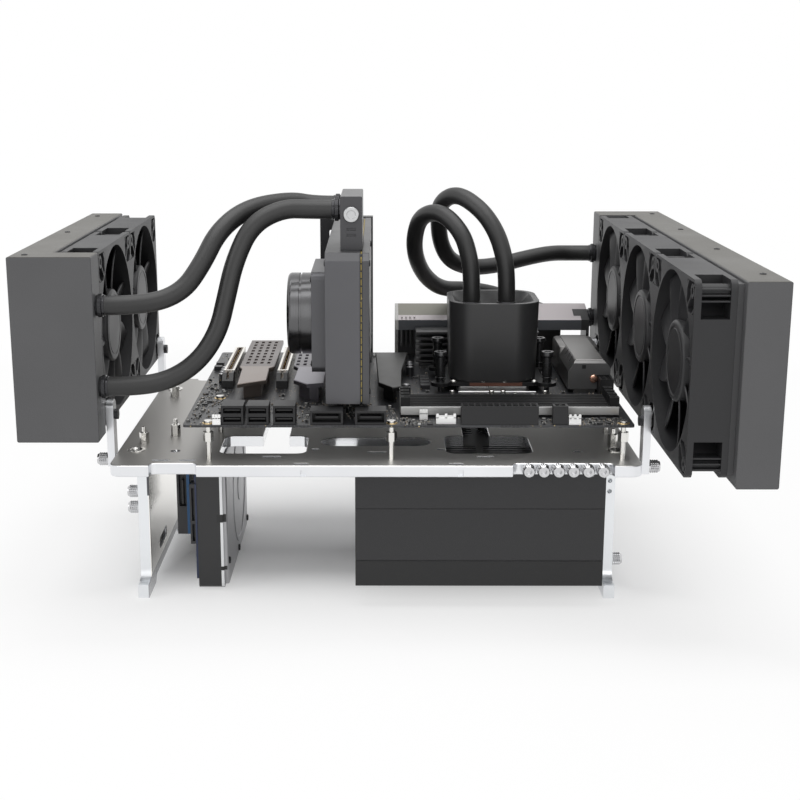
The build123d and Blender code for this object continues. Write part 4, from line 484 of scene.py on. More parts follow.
def chamfered_bar(name, low, high, width, segments=1):
    """Bar between two corners, with all its edges bevelled."""
    size = [b - a for a, b in zip(low, high)]
    middle = [(a + b) / 2 for a, b in zip(low, high)]
    bpy.ops.mesh.primitive_cube_add(size=1, location=middle, scale=size)
    bar = bpy.context.object
    bar.name = name
    bpy.ops.object.transform_apply()
    edit_all()
    bpy.ops.mesh.bevel(offset=width, segments=segments, affect="EDGES")
    done_editing()
    return bar


bpy.ops.mesh.primitive_grid_add(x_subdivisions=blade_rows, y_subdivisions=1, size=1)
blade = bpy.context.object
edit_all()
blade_length = tip_radius - hub_radius + blade_root
bpy.ops.transform.resize(value=(blade_length, strip_width, 1), center_override=(0, 0, 0))
bpy.ops.transform.translate(value=(tip_radius - blade_length / 2, 0, 0))
choose(blade, "VERT", lambda point: point.co.y > 0)
bpy.ops.mesh.delete(type="VERT")
edit_all()
bpy.ops.transform.translate(value=(0, strip_width / 2, 0))
bpy.ops.mesh.spin(steps=blade_columns, angle=blade_turn, center=(0, 0, 0), axis=(0, 0, 1))
done_editing()
blade_angles = sorted({round(math.atan2(point.co.y, point.co.x), 4)
                       for point in blade.data.vertices})
blade_radii = sorted({round(math.hypot(point.co.x, point.co.y), 5)
                      for point in blade.data.vertices})
for number, angle in enumerate(blade_angles):
    along = 2 * number / (len(blade_angles) - 1) - 1
    rise = blade_middle + blade_rise * along - blade_sag * (1 - along ** 2)
    choose(blade, "VERT",
           lambda point: abs(math.atan2(point.co.y, point.co.x) - angle) < same_angle)
    bpy.ops.transform.translate(value=(0, 0, rise))
for radius in blade_radii:
    share = max(0.0, (radius - hub_radius) / (tip_radius - hub_radius))
    choose(blade, "VERT",
           lambda point: abs(math.hypot(point.co.x, point.co.y) - radius) < same_radius)
    bpy.ops.transform.rotate(value=-blade_sweep * share ** sweep_power, orient_axis="Z",
                             center_override=(0, 0, 0))
done_editing()
shaped(blade, "SOLIDIFY", thickness=blade_skin, offset=0)
shaped(blade, "BEVEL", width=blade_edge, segments=2, limit_method="ANGLE",
       angle_limit=sharp_angle)
blade.data.materials.append(rotor_plastic)
blades = repeated(blade, "blades", [((0, 0, 0), (0, 0, 2 * math.pi * number / blade_count))
                                    for number in range(blade_count)])
hub_rim = [(0.0, -0.0016), (0.0004, -0.0008), (0.0013, -0.0001), (0.0023, 0.0), (0.0041, 0.0),
           (0.0043, -0.0004), (0.0055, -0.0004), (0.0057, -0.0001), (0.022, -0.0001)]
hub_rings = [(hub_radius, -rotor_rear)]
hub_rings += [(hub_radius - inward, drop - rotor_front) for inward, drop in hub_rim]
hub = turned("hub", hub_rings, sides=72)
hub.data.materials.append(rotor_plastic)
hub.data.materials.append(hub_plastic_sheen_and_shade)
for face in hub.data.polygons:
    from_axis = math.hypot(face.center.x, face.center.y)
    if face.center.z > -rotor_front - badge_drop and from_axis < hub_radius - badge_margin:
        face.material_index = 1
choose(hub, "FACE", looks_down)
bpy.ops.mesh.inset(thickness=hub_wall)
extrude_up(hub_hollow)
done_editing()
hub.rotation_euler = (math.pi, 0, 0)
rotor = joined("rotor", [hub, blades])

fan_level, fan_face = 0.1926, 0.185
fan_rows = {"left": (-1, (-0.0105, 0.1095)), "right": (1, (-0.133, -0.013, 0.107))}
supply_fan_spot = (0.0745, 0.002, 0.1028)
rotor_places = {"psu_fan_rotor": (supply_fan_spot, (math.pi, 0, 0))}
for fan_side, (sign, rows) in fan_rows.items():
    for number, y in enumerate(rows):
        rotor_places[f"{fan_side}_fan_{number + 1}_rotor"] = (
            (sign * fan_face, y, fan_level), (sign * math.pi / 2, 0, math.pi / 2))
for rotor_name, (spot, turn) in rotor_places.items():
    placed = rotor.copy()
    placed.data = rotor.data.copy()
    placed.name = rotor_name.replace("rotor", "impeller")
    bpy.context.collection.objects.link(placed)
    placed.location = spot
    placed.rotation_euler = turn
    fit(placed, rotor_plastic, body=rotor_name + "_body")
    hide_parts(rotor_name)
bpy.data.objects.remove(rotor)
fan_size, fan_depth, fan_bottom = 0.120, 0.025, 0.1326
flange, window_start, window_end = 0.0036, 0.0006, 0.0231
rib_skin, rib_levels = 0.0011, (0.0056, 0.0091, 0.0126)
rib_levels += tuple(fan_size - level for level in rib_levels)
rib = chamfered_bar("rib", (flange, window_start, -rib_skin / 2),
                    (fan_depth - flange, window_end, rib_skin / 2), fine_bevel)
rib_places = []
for sign, rows in fan_rows.values():
    inner = fan_face if sign > 0 else -fan_face - fan_depth
    for row in rows:
        front = row - fan_size / 2
        for level in rib_levels:
            rib_places.append(((inner, front, fan_bottom + level), (0, 0, 0)))
            rib_places.append(((inner + fan_depth, front + fan_size, fan_bottom + level),
                               (0, 0, math.pi)))
fit(repeated(rib, "corner_ribs", rib_places), frame_plastic)

# Radiators: flat tubes with folded fins between them, in a steel casing with a dark powder
# coat. The tanks at the ends are soldered to the tubes, and small screws hold the casing.
powder_grey_lit_top = finish("radiator_powder_coat", (0.083, 0.083, 0.086), 0.48, size=1300, depth=0.12,
                     round_edge=0.0012)
# Painted light: the tops of the radiators are a warmer, lighter grey, as lit from above.
patch(powder_grey_lit_top, (-far, -far, 0.2523), (far, far, 0.26), (0.094, 0.090, 0.080))
dress(powder_grey_lit_top, "left_radiator", "right_radiator")
fin_pitch, fin_height, fin_depth, fin_wall = 0.0026, 0.0074, 0.0029, 0.00016
fin_bottom, bay_pitch, bay_count = 0.1339, 0.0096, 12
fin_rows = {"left_radiator": (-1, -0.0645, 0.1655), "right_radiator": (1, -0.1835, 0.161)}
fin_columns = {"inner": 0.2165, "outer": 0.23755}
fin_black = finish("fin_matt_black", (0.022, 0.022, 0.023), 0.6, metallic=0.3, size=1500,
                   round_edge=0)
for radiator_name, (side, front, rear) in fin_rows.items():
    for face_name, column in fin_columns.items():
        bpy.ops.mesh.primitive_grid_add(x_subdivisions=2, y_subdivisions=1, size=1)
        fins = bpy.context.object
        fins.name = f"{radiator_name}_fins_{face_name}"
        edit_all()
        bpy.ops.transform.resize(value=(fin_pitch, fin_depth, 1), center_override=(0, 0, 0))
        choose(fins, "VERT", lambda point: abs(point.co.x) < 1e-6)
        bpy.ops.transform.translate(value=(0, 0, fin_height))
        done_editing()
        shaped(fins, "ARRAY", use_relative_offset=False, use_constant_offset=True,
               constant_offset_displace=(fin_pitch, 0, 0), count=int((rear - front) / fin_pitch),
               use_merge_vertices=True, merge_threshold=0.00002)
        shaped(fins, "ARRAY", use_relative_offset=False, use_constant_offset=True,
               constant_offset_displace=(0, 0, bay_pitch), count=bay_count)
        shaped(fins, "SOLIDIFY", thickness=fin_wall, offset=0)
        fins.location = (side * column, front + fin_pitch / 2, fin_bottom)
        fins.rotation_euler = (0, 0, math.pi / 2)
        fit(fins, fin_black)
casing_top, casing_side = 0.2526, 0.2305
casing_rings = [(0.0012, -0.0006), (0.0012, -0.0001), (0.0021, 0.0), (0.0021, 0.0003),
                (0.0017, 0.0006), (0.0010, 0.0006), (0.0009, -0.0004)]
casing_spots = [(casing_side, y) for y in (-0.168, -0.052, 0.064, 0.177)]
casing_spots += [(-casing_side, y) for y in (-0.083, 0.045, 0.158)]
turned_set("casing_screws", casing_rings, standing(casing_spots, casing_top), black_oxide)

# Computer board: glass laminate under a black solder mask, with traces below it, plated
# holes and gold rings at its screws. Small parts are soldered all over its free areas.
board_top = 0.1376
track_gap, area_scale, via_scale, via_radius = 0.06, 52.0, 310.0, 0.13
board_tracks, given, gives = effect_group("board_tracks", (),
                                          (("Track", "Float"), ("Hole", "Float")))
place = shader_node(board_tracks, "TexCoord").outputs["Object"]
quarter_turned = shader_node(board_tracks, "Mapping", {
    "Vector": place, "Rotation": (0, 0, math.radians(90))}).outputs["Vector"]
lanes, cross = [
    shader_node(board_tracks, "TexBrick", {
        "Vector": vector, "Scale": scale, "Mortar Size": track_gap, "Brick Width": length,
        "Row Height": gap}, offset=offset).outputs["Fac"]
    for vector, scale, length, gap, offset in ((place, 160.0, 3.2, 0.32, 0.37),
                                               (quarter_turned, 130.0, 2.4, 0.34, 0.61))]
areas = shader_node(board_tracks, "TexVoronoi", {"Vector": place, "Scale": area_scale},
                    distance="CHEBYCHEV")
pick = shader_node(board_tracks, "SeparateColor", {"Color": areas.outputs["Color"]})
halves = maths(board_tracks, "GREATER_THAN", pick.outputs["Red"], 0.5)
either = shader_node(board_tracks, "Mix", {"Factor": halves, "A": lanes, "B": cross})
vias = shader_node(board_tracks, "TexVoronoi", {"Vector": place, "Scale": via_scale})
board_tracks.links.new(either.outputs["Result"], gives["Track"])
board_tracks.links.new(maths(board_tracks, "LESS_THAN", vias.outputs["Distance"], via_radius),
                       gives["Hole"])
solder_mask = finish("board_solder_mask", (0.014, 0.014, 0.016), 0.36, size=900, depth=0.05)
tracks = shader_node(solder_mask.node_tree, "Group", node_tree=board_tracks).outputs
overlay(solder_mask, tracks["Track"], (0.034, 0.035, 0.039))
overlay(solder_mask, tracks["Hole"], (0.50, 0.40, 0.22), metallic=1.0)
dress(solder_mask, "motherboard", "gpu_board")

board_hole_spots = [(x, y) for x in (-0.11399, 0.01047, 0.16795)
                    for y in (-0.07765, -0.00526, 0.14968)]
ring_gold = finish("plated_gold", (0.80, 0.60, 0.30), 0.28, metallic=1.0, size=2600, tint=0.15)
ring_rings = [(0.0043, 0), (0.0043, 0.00006), (0.0042, 0.0001), (0.0031, 0.0001),
              (0.0030, 0.00002)]
turned_set("screw_rings", ring_rings, standing(board_hole_spots, board_top), ring_gold,
           sides=32)

can_spots = [(0.022, 0.0), (0.022, 0.008), (0.026, 0.070), (0.026, 0.079), (0.026, 0.088),
             (0.136, 0.086), (-0.118, 0.044), (-0.118, 0.052), (-0.118, 0.060), (-0.118, 0.068),
             (-0.050, 0.126)]
can_rings = [(0.0022, 0.007), (0.0022, 0.0073), (0.0020, 0.0075), (0.0013, 0.0075),
             (0.0012, 0.0074)]
can_grey = finish("can_aluminium", (0.42, 0.42, 0.43), 0.3, metallic=1.0, size=2600)
turned_set("capacitor_tops", can_rings, standing(can_spots, board_top), can_grey,
           sides=24)
tin = finish("soldered_tin", (0.34, 0.34, 0.33), 0.34, metallic=1.0, size=2600, round_edge=0)
part_black = finish("small_part_black", (0.02, 0.02, 0.021), 0.4, size=2600, round_edge=0)
part_brown = finish("small_part_ceramic", (0.22, 0.17, 0.12), 0.45, size=2600, round_edge=0)
bevel_share = 0.1


def soldered_part(name, length, width, height, cap, body_material):
    """Small part with a body between two tinned ends, standing on the board."""
    part = chamfered_bar(name, (-length / 2, -width / 2, 0), (length / 2, width / 2, height),
                         height * bevel_share)
    for end in (-1, 1):
        edit_all()
        bpy.ops.mesh.bisect(plane_co=(end * (length / 2 - cap), 0, 0), plane_no=(1, 0, 0))
    done_editing()
    part.data.materials.append(body_material)
    part.data.materials.append(tin)
    for face in part.data.polygons:
        face.material_index = 1 if abs(face.center.x) > length / 2 - cap else 0
    return part


# Areas of the board under other pieces, as left, right, front and rear, kept free of parts.
taken = [
    (-0.1055, -0.0765, -0.016, 0.151), (-0.0645, -0.0365, -0.016, 0.098),
    (-0.003, 0.027, -0.027, 0.102), (-0.1165, -0.1065, 0.0225, 0.1285),
    (-0.0765, -0.0655, 0.0225, 0.1285), (-0.0155, -0.0045, 0.0225, 0.1285),
    (0.0145, 0.1695, -0.064, -0.0255), (0.040, 0.134, 0.007, 0.079),
    (0.140, 0.174, 0.009, 0.113), (0.162, 0.175, -0.003, 0.018), (0.030, 0.132, 0.102, 0.161),
    (0.013, 0.175, 0.128, 0.161), (0.0555, 0.1115, -0.084, -0.070),
    (0.1175, 0.131, -0.084, -0.073), (-0.1055, -0.0535, -0.084, -0.065),
    (-0.0455, 0.008, -0.084, -0.067), (-0.112, -0.1035, -0.084, -0.077),
    (0.0395, 0.055, -0.083, -0.0745), (0.0285, 0.0365, -0.071, -0.063),
    (0.1290, 0.1395, -0.084, -0.0765), (0.0325, 0.0405, 0.021, 0.059),
]
ring_reach, can_reach, pin_reach = 0.0046, 0.0034, 0.0042
round_taken = [(x, y, ring_reach) for x, y in board_hole_spots]
round_taken += [(x, y, can_reach) for x, y in can_spots]
round_taken += [(x, y, pin_reach) for x, y in ((-0.126, 0.090), (-0.126, 0.104), (-0.090, -0.042),
                                               (-0.024, -0.050), (-0.060, -0.046))]
scatter = random.Random(41)
tries_each, cell_size, wide_reach = 30, 0.0017, 0.0015
used = set()


def free_places(count, reach, ends, rows):
    """Seeded places on the free areas of the board, each kept clear of the others."""
    found = []
    for _ in range(count * tries_each):
        if len(found) == count:
            break
        x, y = scatter.uniform(*ends), scatter.uniform(*rows)
        cell = (round(x / cell_size), round(y / cell_size))
        boxed = any(a - reach < x < b + reach and c - reach < y < d + reach for a, b, c, d in taken)
        near = any(math.hypot(x - a, y - b) < radius + reach for a, b, radius in round_taken)
        if boxed or near or cell in used:
            continue
        used.add(cell)
        found.append(((x, y, board_top), (0, 0, scatter.choice((0, math.pi / 2)))))
        if reach > wide_reach:
            round_taken.append((x, y, reach))
    return found


zones = [
    ((-0.1285, 0.1715), (-0.082, 0.158), 1.0), ((-0.1285, -0.108), (-0.070, 0.034), 0.16),
    ((-0.110, 0.014), (-0.066, -0.018), 0.36), ((0.010, 0.170), (-0.083, -0.065), 0.32),
    ((0.028, 0.172), (-0.025, 0.008), 0.26),
]
part_kinds = {"driver": (22, 0.0026), "choke": (60, 0.0016), "ceramic": (190, 0.0009),
              "resistor": (330, 0.0009)}
part_places = {kind: [] for kind in part_kinds}
for ends, rows, weight in zones:
    for kind, (count, reach) in part_kinds.items():
        part_places[kind] += free_places(int(count * weight), reach, ends, rows)
driver = chamfered_bar("driver", (-0.002, -0.002, 0.0001), (0.002, 0.002, 0.001), 0.00012)
driver.data.materials.append(part_black)
fit(repeated(driver, "board_chips", part_places["driver"]), part_black)
soldered_sizes = {
    "choke": (0.0026, 0.0022, 0.0014, 0.0004, part_black),
    "ceramic": (0.0015, 0.0009, 0.0009, 0.00035, part_brown),
    "resistor": (0.0014, 0.0007, 0.0004, 0.0003, part_black),
}
small_parts = [repeated(soldered_part(kind, *sizes), kind + "s", part_places[kind])
               for kind, sizes in soldered_sizes.items()]
fit(joined("board_small_parts", small_parts), part_black)

# Sockets at the front of the board: black and white mouldings, soldered through its holes.
# The white ones are open boxes with three teeth in front, for the small plugs of fans.
black_plastic = finish("socket_plastic", (0.016, 0.016, 0.017), 0.42, size=2200, depth=0.05,
                       shine=0.35)
slot_black = finish("slot_plastic", (0.017, 0.017, 0.018), 0.45, size=2200, depth=0.05)
card_columns, groove_reach = (-0.1116, -0.07096, -0.010), 0.0025
for groove in card_columns:
    patch(slot_black, (groove - groove_reach, 0.03, 0.1385), (groove + groove_reach, 0.14, 0.1489),
          (0.085, 0.055, 0.034))
memory_black = finish("memory_socket_plastic", (0.008, 0.008, 0.0085), 0.5, size=2200, depth=0.05,
                      shine=0.22)
socket_steel = finish("stamped_steel", (0.62, 0.62, 0.62), 0.3, metallic=1.0, size=2400)
port_steel = finish("port_steel", (0.62, 0.62, 0.62), 0.3, metallic=1.0, size=2400)
patch(port_steel, (0, 0.1, 0), (0.2, 0.1585, 0.2), (0.02, 0.02, 0.02), metallic=0.2)
dress(black_plastic, "power_sockets", "sata_sockets", "usb_sockets")
dress(slot_black, "card_slots")
dress(memory_black, "memory_slots")
dress(socket_steel, "cpu_socket")
dress(port_steel, "rear_ports")
white_plastic = finish("header_plastic", (0.94, 0.94, 0.93), 0.5, size=2200, depth=0.05)
header_rows = [(-0.1077, -0.081, 2), (0.0473, -0.0785, 5), (0.0325, -0.067, 2),
               (0.1342, -0.0805, 3)]
header_pitch, header_margin, header_floor = 0.0026, 0.0004, 0.0032
header_deep, header_high, header_wall = 0.0056, 0.0072, 0.0012
tooth_high, tooth_half, tooth_foot = 0.0022, 0.0009, 0.004
header_blocks = []
for x, y, count in header_rows:
    wide = count * header_pitch + header_margin
    front, rear = y - header_deep / 2, y + header_deep / 2
    foot = chamfered_bar("header_foot", (x - wide / 2, front, board_top),
                         (x + wide / 2, rear, board_top + header_high - tooth_high), fine_bevel)
    choose(foot, "FACE", looks_up)
    bpy.ops.mesh.inset(thickness=header_wall)
    extrude_up(-header_floor)
    done_editing()
    header_blocks.append(foot)
    for share in (-0.5, 0.0, 0.5):
        tooth = x + share * (wide - 2 * tooth_half)
        header_blocks.append(chamfered_bar(
            "header_tooth", (tooth - tooth_half, front, board_top + tooth_foot),
            (tooth + tooth_half, front + header_wall, board_top + header_high), fine_bevel))
headers = joined("header_blocks", header_blocks)
fit(headers, white_plastic)
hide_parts("pin_headers")

# Slots for memory and cards: black mouldings. Each card slot has a bent steel cover round
# its walls, and the front memory slot a steel strip, and gold contacts line the grooves.
cover_steel = finish("slot_cover_steel", (0.86, 0.83, 0.77), 0.26, metallic=1.0, size=2600,
                     tint=0.1)
cover_front, cover_rear, cover_top = 0.0382, 0.1268, 0.1490
cover_half, groove_half, cover_skin = 0.00405, 0.0024, 0.00022
bpy.ops.mesh.primitive_cube_add(
    size=1, location=(0, (cover_front + cover_rear) / 2, (board_top + cover_top) / 2),
    scale=(2 * cover_half, cover_rear - cover_front, cover_top - board_top))
slot_cover = bpy.context.object
bpy.ops.object.transform_apply()
choose(slot_cover, "FACE", looks_up)
bpy.ops.mesh.inset(thickness=cover_half - groove_half)
bpy.ops.mesh.delete(type="FACE")
choose(slot_cover, "FACE", looks_down)
bpy.ops.mesh.delete(type="FACE")
done_editing()
shaped(slot_cover, "SOLIDIFY", thickness=cover_skin, offset=-1)
shaped(slot_cover, "BEVEL", width=fine_bevel, limit_method="ANGLE")
slot_covers = repeated(slot_cover, "slot_covers", standing([(x, 0) for x in card_columns]))
fit(slot_covers, cover_steel)

contact_side, contact_start, contact_pitch, contact_level = 0.00085, 0.042, 0.0013, 0.0045
contact = chamfered_bar("contact", (-0.00015, -0.00025, 0), (0.00015, 0.00025, 0.005), 0.00008)
contact_spots = [(x + side * contact_side, contact_start + number * contact_pitch)
                 for x in card_columns for number in range(64) for side in (-1, 1)]
fit(repeated(contact, "card_contacts", standing(contact_spots, board_top + contact_level)),
    ring_gold)
clips = [chamfered_bar("memory_strip", (0.0168, -0.0626, 0.1393), (0.1672, -0.0620, 0.1452),
                       fine_bevel)]
clip_start, clip_pitch, clip_half = -0.0585, 0.0095, 0.0016
for number in range(4):
    row = clip_start + number * clip_pitch
    clips.append(chamfered_bar("memory_clip", (0.0163, row - clip_half, 0.1400),
                               (0.0169, row + clip_half, 0.1506), fine_bevel))
strip_steel = finish("memory_strip_steel", (0.46, 0.46, 0.455), 0.36, metallic=0.9, size=2400)
fit(joined("memory_strip", clips), strip_steel)

# Covers and heatsinks: milled aluminium, each anodised in its own shade and screwed to the
# board. The parts with rows of slots are darker, and the rear cover slopes to a dark bar.
tan_cover = finish("tan_anodised", (0.28, 0.238, 0.214), 0.34, metallic=0.9, size=2400)
patch(tan_cover, (-0.2, 0.047, 0), (0.2, 0.2, 1), (0.17, 0.150, 0.145))
lilac_cover = finish("lilac_anodised", (0.25, 0.24, 0.27), 0.32, metallic=0.9, size=2400)
patch(lilac_cover, (-0.2, 0.045, 0), (0.2, 0.2, 1), (0.15, 0.142, 0.158))
grey_cover = finish("grey_anodised", (0.070, 0.070, 0.068), 0.40, metallic=0.9, size=2400)
dark_sink = finish("dark_anodised", (0.13, 0.128, 0.127), 0.30, metallic=0.9, size=2400)
patch(dark_sink, (0, 0.009, 0.1), (0.2, 0.0112, 0.17), (0.125, 0.125, 0.126), metallic=0.4)
patch(dark_sink, (0.1516, 0.009, 0.1560), (0.1544, 0.0112, 0.1588), (0.004, 0.004, 0.004),
      metallic=0.0)
black_fins = finish("black_anodised", (0.07, 0.07, 0.072), 0.36, metallic=0.7, size=2400)
dress(tan_cover, "left_board_cover")
dress(lilac_cover, "middle_board_cover")
dress(grey_cover, "right_board_cover")
dress(dark_sink, "side_heatsink")
dress(black_fins, "rear_heatsink")
shroud_front, shroud_slope, shroud_step, slope_skin = 0.130, 0.3036, 0.171, 0.0006
shroud_black = finish("shroud_black", (0.020, 0.020, 0.022), 0.4, size=2000)
shroud_top = shroud_black.node_tree
place = shader_node(shroud_top, "TexCoord").outputs["Object"]
parts = shader_node(shroud_top, "SeparateXYZ", {0: place}).outputs
slope = maths(shroud_top, "MULTIPLY_ADD", parts["Y"], shroud_slope,
              shroud_step - shroud_front * shroud_slope - slope_skin)
overlay(shroud_black, maths(shroud_top, "GREATER_THAN", parts["Z"], slope),
        (0.50, 0.465, 0.475), metallic=0.75)
for low, high, colour, metallic in (
        ((0.0, 0.1365, 0.1735), (0.064, 0.2, 0.2), (0.22, 0.215, 0.185), 0.75),
        ((0.0, 0.1295, 0.160), (0.2, 0.1302, 0.1708), (0.085, 0.090, 0.100), 0.3),
        ((0.1675, 0.128, 0.15), (0.18, 0.149, 0.19), (0.012, 0.012, 0.013), 0.0),
        ((0.162, 0.137, 0.15), (0.1675, 0.149, 0.19), (0.012, 0.012, 0.013), 0.0),
        ((0.0, 0.1, 0.1), (0.0177, 0.2, 0.2), (0.42, 0.42, 0.41), 0.9)):
    patch(shroud_black, low, high, colour, metallic)
dress(shroud_black, "port_shroud")
copper = finish("polished_copper", (0.80, 0.46, 0.34), 0.25, metallic=1.0, size=2600)
stud_rings = [(0.0030, -0.0004), (0.0030, 0.0008), (0.0025, 0.0014), (0.0010, 0.0016)]
turned_set("sink_stud", stud_rings, [((0.1604, 0.011, 0.1485), facing_front)], copper,
           sides=28)

sink_grey = finish("sink_rear_anodised", (0.24, 0.235, 0.23), 0.34, metallic=0.9, size=2400)
rear_block = chamfered_bar("sink_block", (0.1415, 0.0674, board_top), (0.1725, 0.1110, 0.1620),
                           0.0028, segments=2)
top_plate = chamfered_bar("sink_plate", (0.1470, 0.0130, 0.1616), (0.1678, 0.1090, 0.1626), 0.0003)
fit(joined("sink_rear_block", [rear_block, top_plate]), sink_grey)

# Processor cooler: copper cold plate under a black block with a dished top. Four sprung
# posts with flat caps press it down on its bracket, which is screwed through the board.
block_black = finish("cooler_satin_black", (0.035, 0.035, 0.036), 0.34, size=2000, depth=0.05,
                     round_edge=0.0010)
dress(copper, "cpu_cold_plate")
dress(block_black, "cpu_water_block")
bracket_black = finish("bracket_black", (0.022, 0.022, 0.023), 0.36, metallic=0.5, size=2400)
patch(bracket_black, (0.069, 0.0, 0.1422), (0.108, 0.0140, 0.1452), (0.24, 0.115, 0.085),
      metallic=0.7)
dress(bracket_black, "cpu_bracket")
post_grey = finish("post_dark_steel", (0.060, 0.060, 0.062), 0.26, metallic=0.8, size=2400)
cooler_x, cooler_y = 0.087, 0.043
post_spots = [(cooler_x + x, cooler_y + y) for x in (-0.0395, 0.0395) for y in (-0.027, 0.027)]
post_rings = [(0.0018, board_top), (0.0018, 0.1424), (0.0048, 0.1426), (0.0048, 0.1440),
              (0.0032, 0.1446), (0.0030, 0.1496), (0.0036, 0.1500), (0.0036, 0.1640),
              (0.0044, 0.1646), (0.0047, 0.1650), (0.0047, 0.1675), (0.0044, 0.1680),
              (0.0026, 0.1680), (0.0023, 0.1670)]
post = turned("cooler_post", post_rings, sides=32)
spring_radius, spring_wire, spring_foot, spring_pitch = 0.0035, 0.00045, 0.1472, 0.0021
bpy.ops.mesh.primitive_circle_add(vertices=8, radius=spring_wire, fill_type="NOTHING",
                                  location=(spring_radius, 0, spring_foot),
                                  rotation=(math.pi / 2, 0, 0))
spring = bpy.context.object
bpy.ops.object.transform_apply()
shaped(spring, "SCREW", screw_offset=spring_pitch, iterations=1, steps=20, render_steps=20,
       use_normal_calculate=True)
cooler_posts = repeated(joined("sprung_post", [post, spring]), "cooler_posts",
                        standing(post_spots))
fit(cooler_posts, post_grey)
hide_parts("cooler_screws")
nut_rings = [(0.0024, 0.1450), (0.0024, 0.1462), (0.0020, 0.1467), (0.0009, 0.1467),
             (0.0008, 0.1460)]
nut_spots = [(cooler_x + x, y) for x in (-0.030, -0.008, 0.008, 0.030) for y in (0.0145, 0.0715)]
turned_set("bracket_nuts", nut_rings, standing(nut_spots), bright_steel)
bar_high, bar_screw_row = 0.0014, 0.0085
front_bar = chamfered_bar("socket_bar", (0.0604, 0.0100, board_top),
                          (0.1182, 0.0130, board_top + bar_high), 0.0003)
fit(front_bar, socket_steel)
bar_screw_rings = [(radius, board_top + height) for radius, height in (
    (0.0020, 0.0), (0.0020, 0.0024), (0.0016, 0.0028), (0.0008, 0.0028))]
bar_screw_spots = [(x, bar_screw_row) for x in (0.0560, 0.0850, 0.0935, 0.1245)]
turned_set("bar_screws", bar_screw_rings, standing(bar_screw_spots), bright_steel)

# Graphics card: dark grey water block and backplate, screwed together through a black
# board, with a round pump on a raised housing and a terminal for the hoses on top.
card_left, card_edge = -0.05, 0.2512
card_grey_and_painted_shade = finish("card_dark_grey", (0.102, 0.102, 0.109), 0.38, metallic=0.5, size=1800,
                   round_edge=0.0006)
# Painted shade: the top of the card and the chamfer at its front are painted darker, to take back
# the light from above.
patch(card_grey_and_painted_shade, (card_left, -far, card_edge), (0.0, far, 0.26), (0.060, 0.060, 0.063))
patch(card_grey_and_painted_shade, (card_left, -far, 0.2471), (0.0, -0.062, card_edge), (0.058, 0.058, 0.061))
patch(card_grey_and_painted_shade, (-0.0095, -far, 0.1), (0.0, far, card_edge), (0.076, 0.076, 0.080))
pump_grey = finish("pump_brushed", (0.125, 0.125, 0.128), 0.26, metallic=1.0, size=900, depth=0.06,
                   tint=0.2, stretch=(1, 0.04, 0.04))
terminal_grey = finish("terminal_satin", (0.060, 0.060, 0.064), 0.34, metallic=0.3, size=2000,
                       round_edge=0.0005)
dress(card_grey_and_painted_shade, "gpu_water_block", "gpu_backplate")
dress(pump_grey, "gpu_pump")
dress(black_oxide, "gpu_bracket")
merge_reach = 0.000005


def opened_copy(node_name, name):
    """Copy of a CAD node with its points merged and its old shading cleared, in edit mode."""
    piece = nodes[node_name].copy()
    piece.data = nodes[node_name].data.copy()
    piece.name = name
    piece.data.materials.clear()
    bpy.context.collection.objects.link(piece)
    alone(piece)
    edit_all()
    bpy.ops.mesh.remove_doubles(threshold=merge_reach)
    bpy.ops.mesh.customdata_custom_splitnormals_clear()
    return piece


terminal_drop, terminal_rim = 0.005, 0.2915
terminal = opened_copy("gpu_terminal", "hose_terminal")
choose(terminal, "VERT", lambda point: point.co.z > terminal_rim)
bpy.ops.transform.translate(value=(0, 0, -terminal_drop))
done_editing()
fit(terminal, terminal_grey)
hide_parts("gpu_terminal")
pad_column, pad_pitch = -0.010, 0.005
top_pad_start, top_pad_pitch, top_pad_level = -0.064, 0.006, 0.251
pad = chamfered_bar("edge_pad", (-0.0004, -0.0003, -0.0020), (0.0004, 0.0004, 0.0020), 0.0001)
front_pads = repeated(pad, "front_pads", [((pad_column, -0.07, 0.1525 + pad_pitch * number),
                                           (0, 0, 0)) for number in range(20)])
pad = chamfered_bar("edge_pad", (-0.0005, -0.0012, -0.0004), (0.0005, 0.0012, 0.0003), 0.0001)
top_pad_spots = [(pad_column, top_pad_start + top_pad_pitch * number) for number in range(36)]
top_pads = repeated(pad, "top_pads", standing(top_pad_spots, top_pad_level))
dull_gold = finish("dull_gold", (0.42, 0.33, 0.12), 0.4, metallic=0.8, size=2600)
fit(joined("gpu_edge_pads", [front_pads, top_pads]), dull_gold)
plug_rings = [(0.0052, 0.0), (0.0052, 0.0004), (0.0049, 0.0008), (0.0030, 0.0008),
              (0.0028, 0.0002)]
nickel = finish("plug_nickel", (0.50, 0.505, 0.51), 0.30, metallic=1.0, size=2600, tint=0.1)
turned_set("terminal_plug", plug_rings, [((-0.0168, -0.0552, 0.276), facing_front)], nickel,
           sides=40)
card_screw_rings = [(0.0022, -0.0006), (0.0022, 0.0004), (0.0018, 0.0008), (0.0010, 0.0008),
                    (0.0009, -0.0002)]
screw_grid = [(y, z) for y in (-0.064, 0.040, 0.140) for z in (0.1565, 0.2445)]
housing_grid = [(y, z) for y in (-0.044, 0.020) for z in (0.1715, 0.2305)]
card_screw_places = [((face, y, z), facing)
                     for face, facing, grid in ((-0.0343, facing_left, screw_grid),
                                                (-0.0047, facing_right, screw_grid),
                                                (-0.0446, facing_left, housing_grid))
                     for y, z in grid]
turned_set("card_screws", card_screw_rings, card_screw_places, black_oxide)

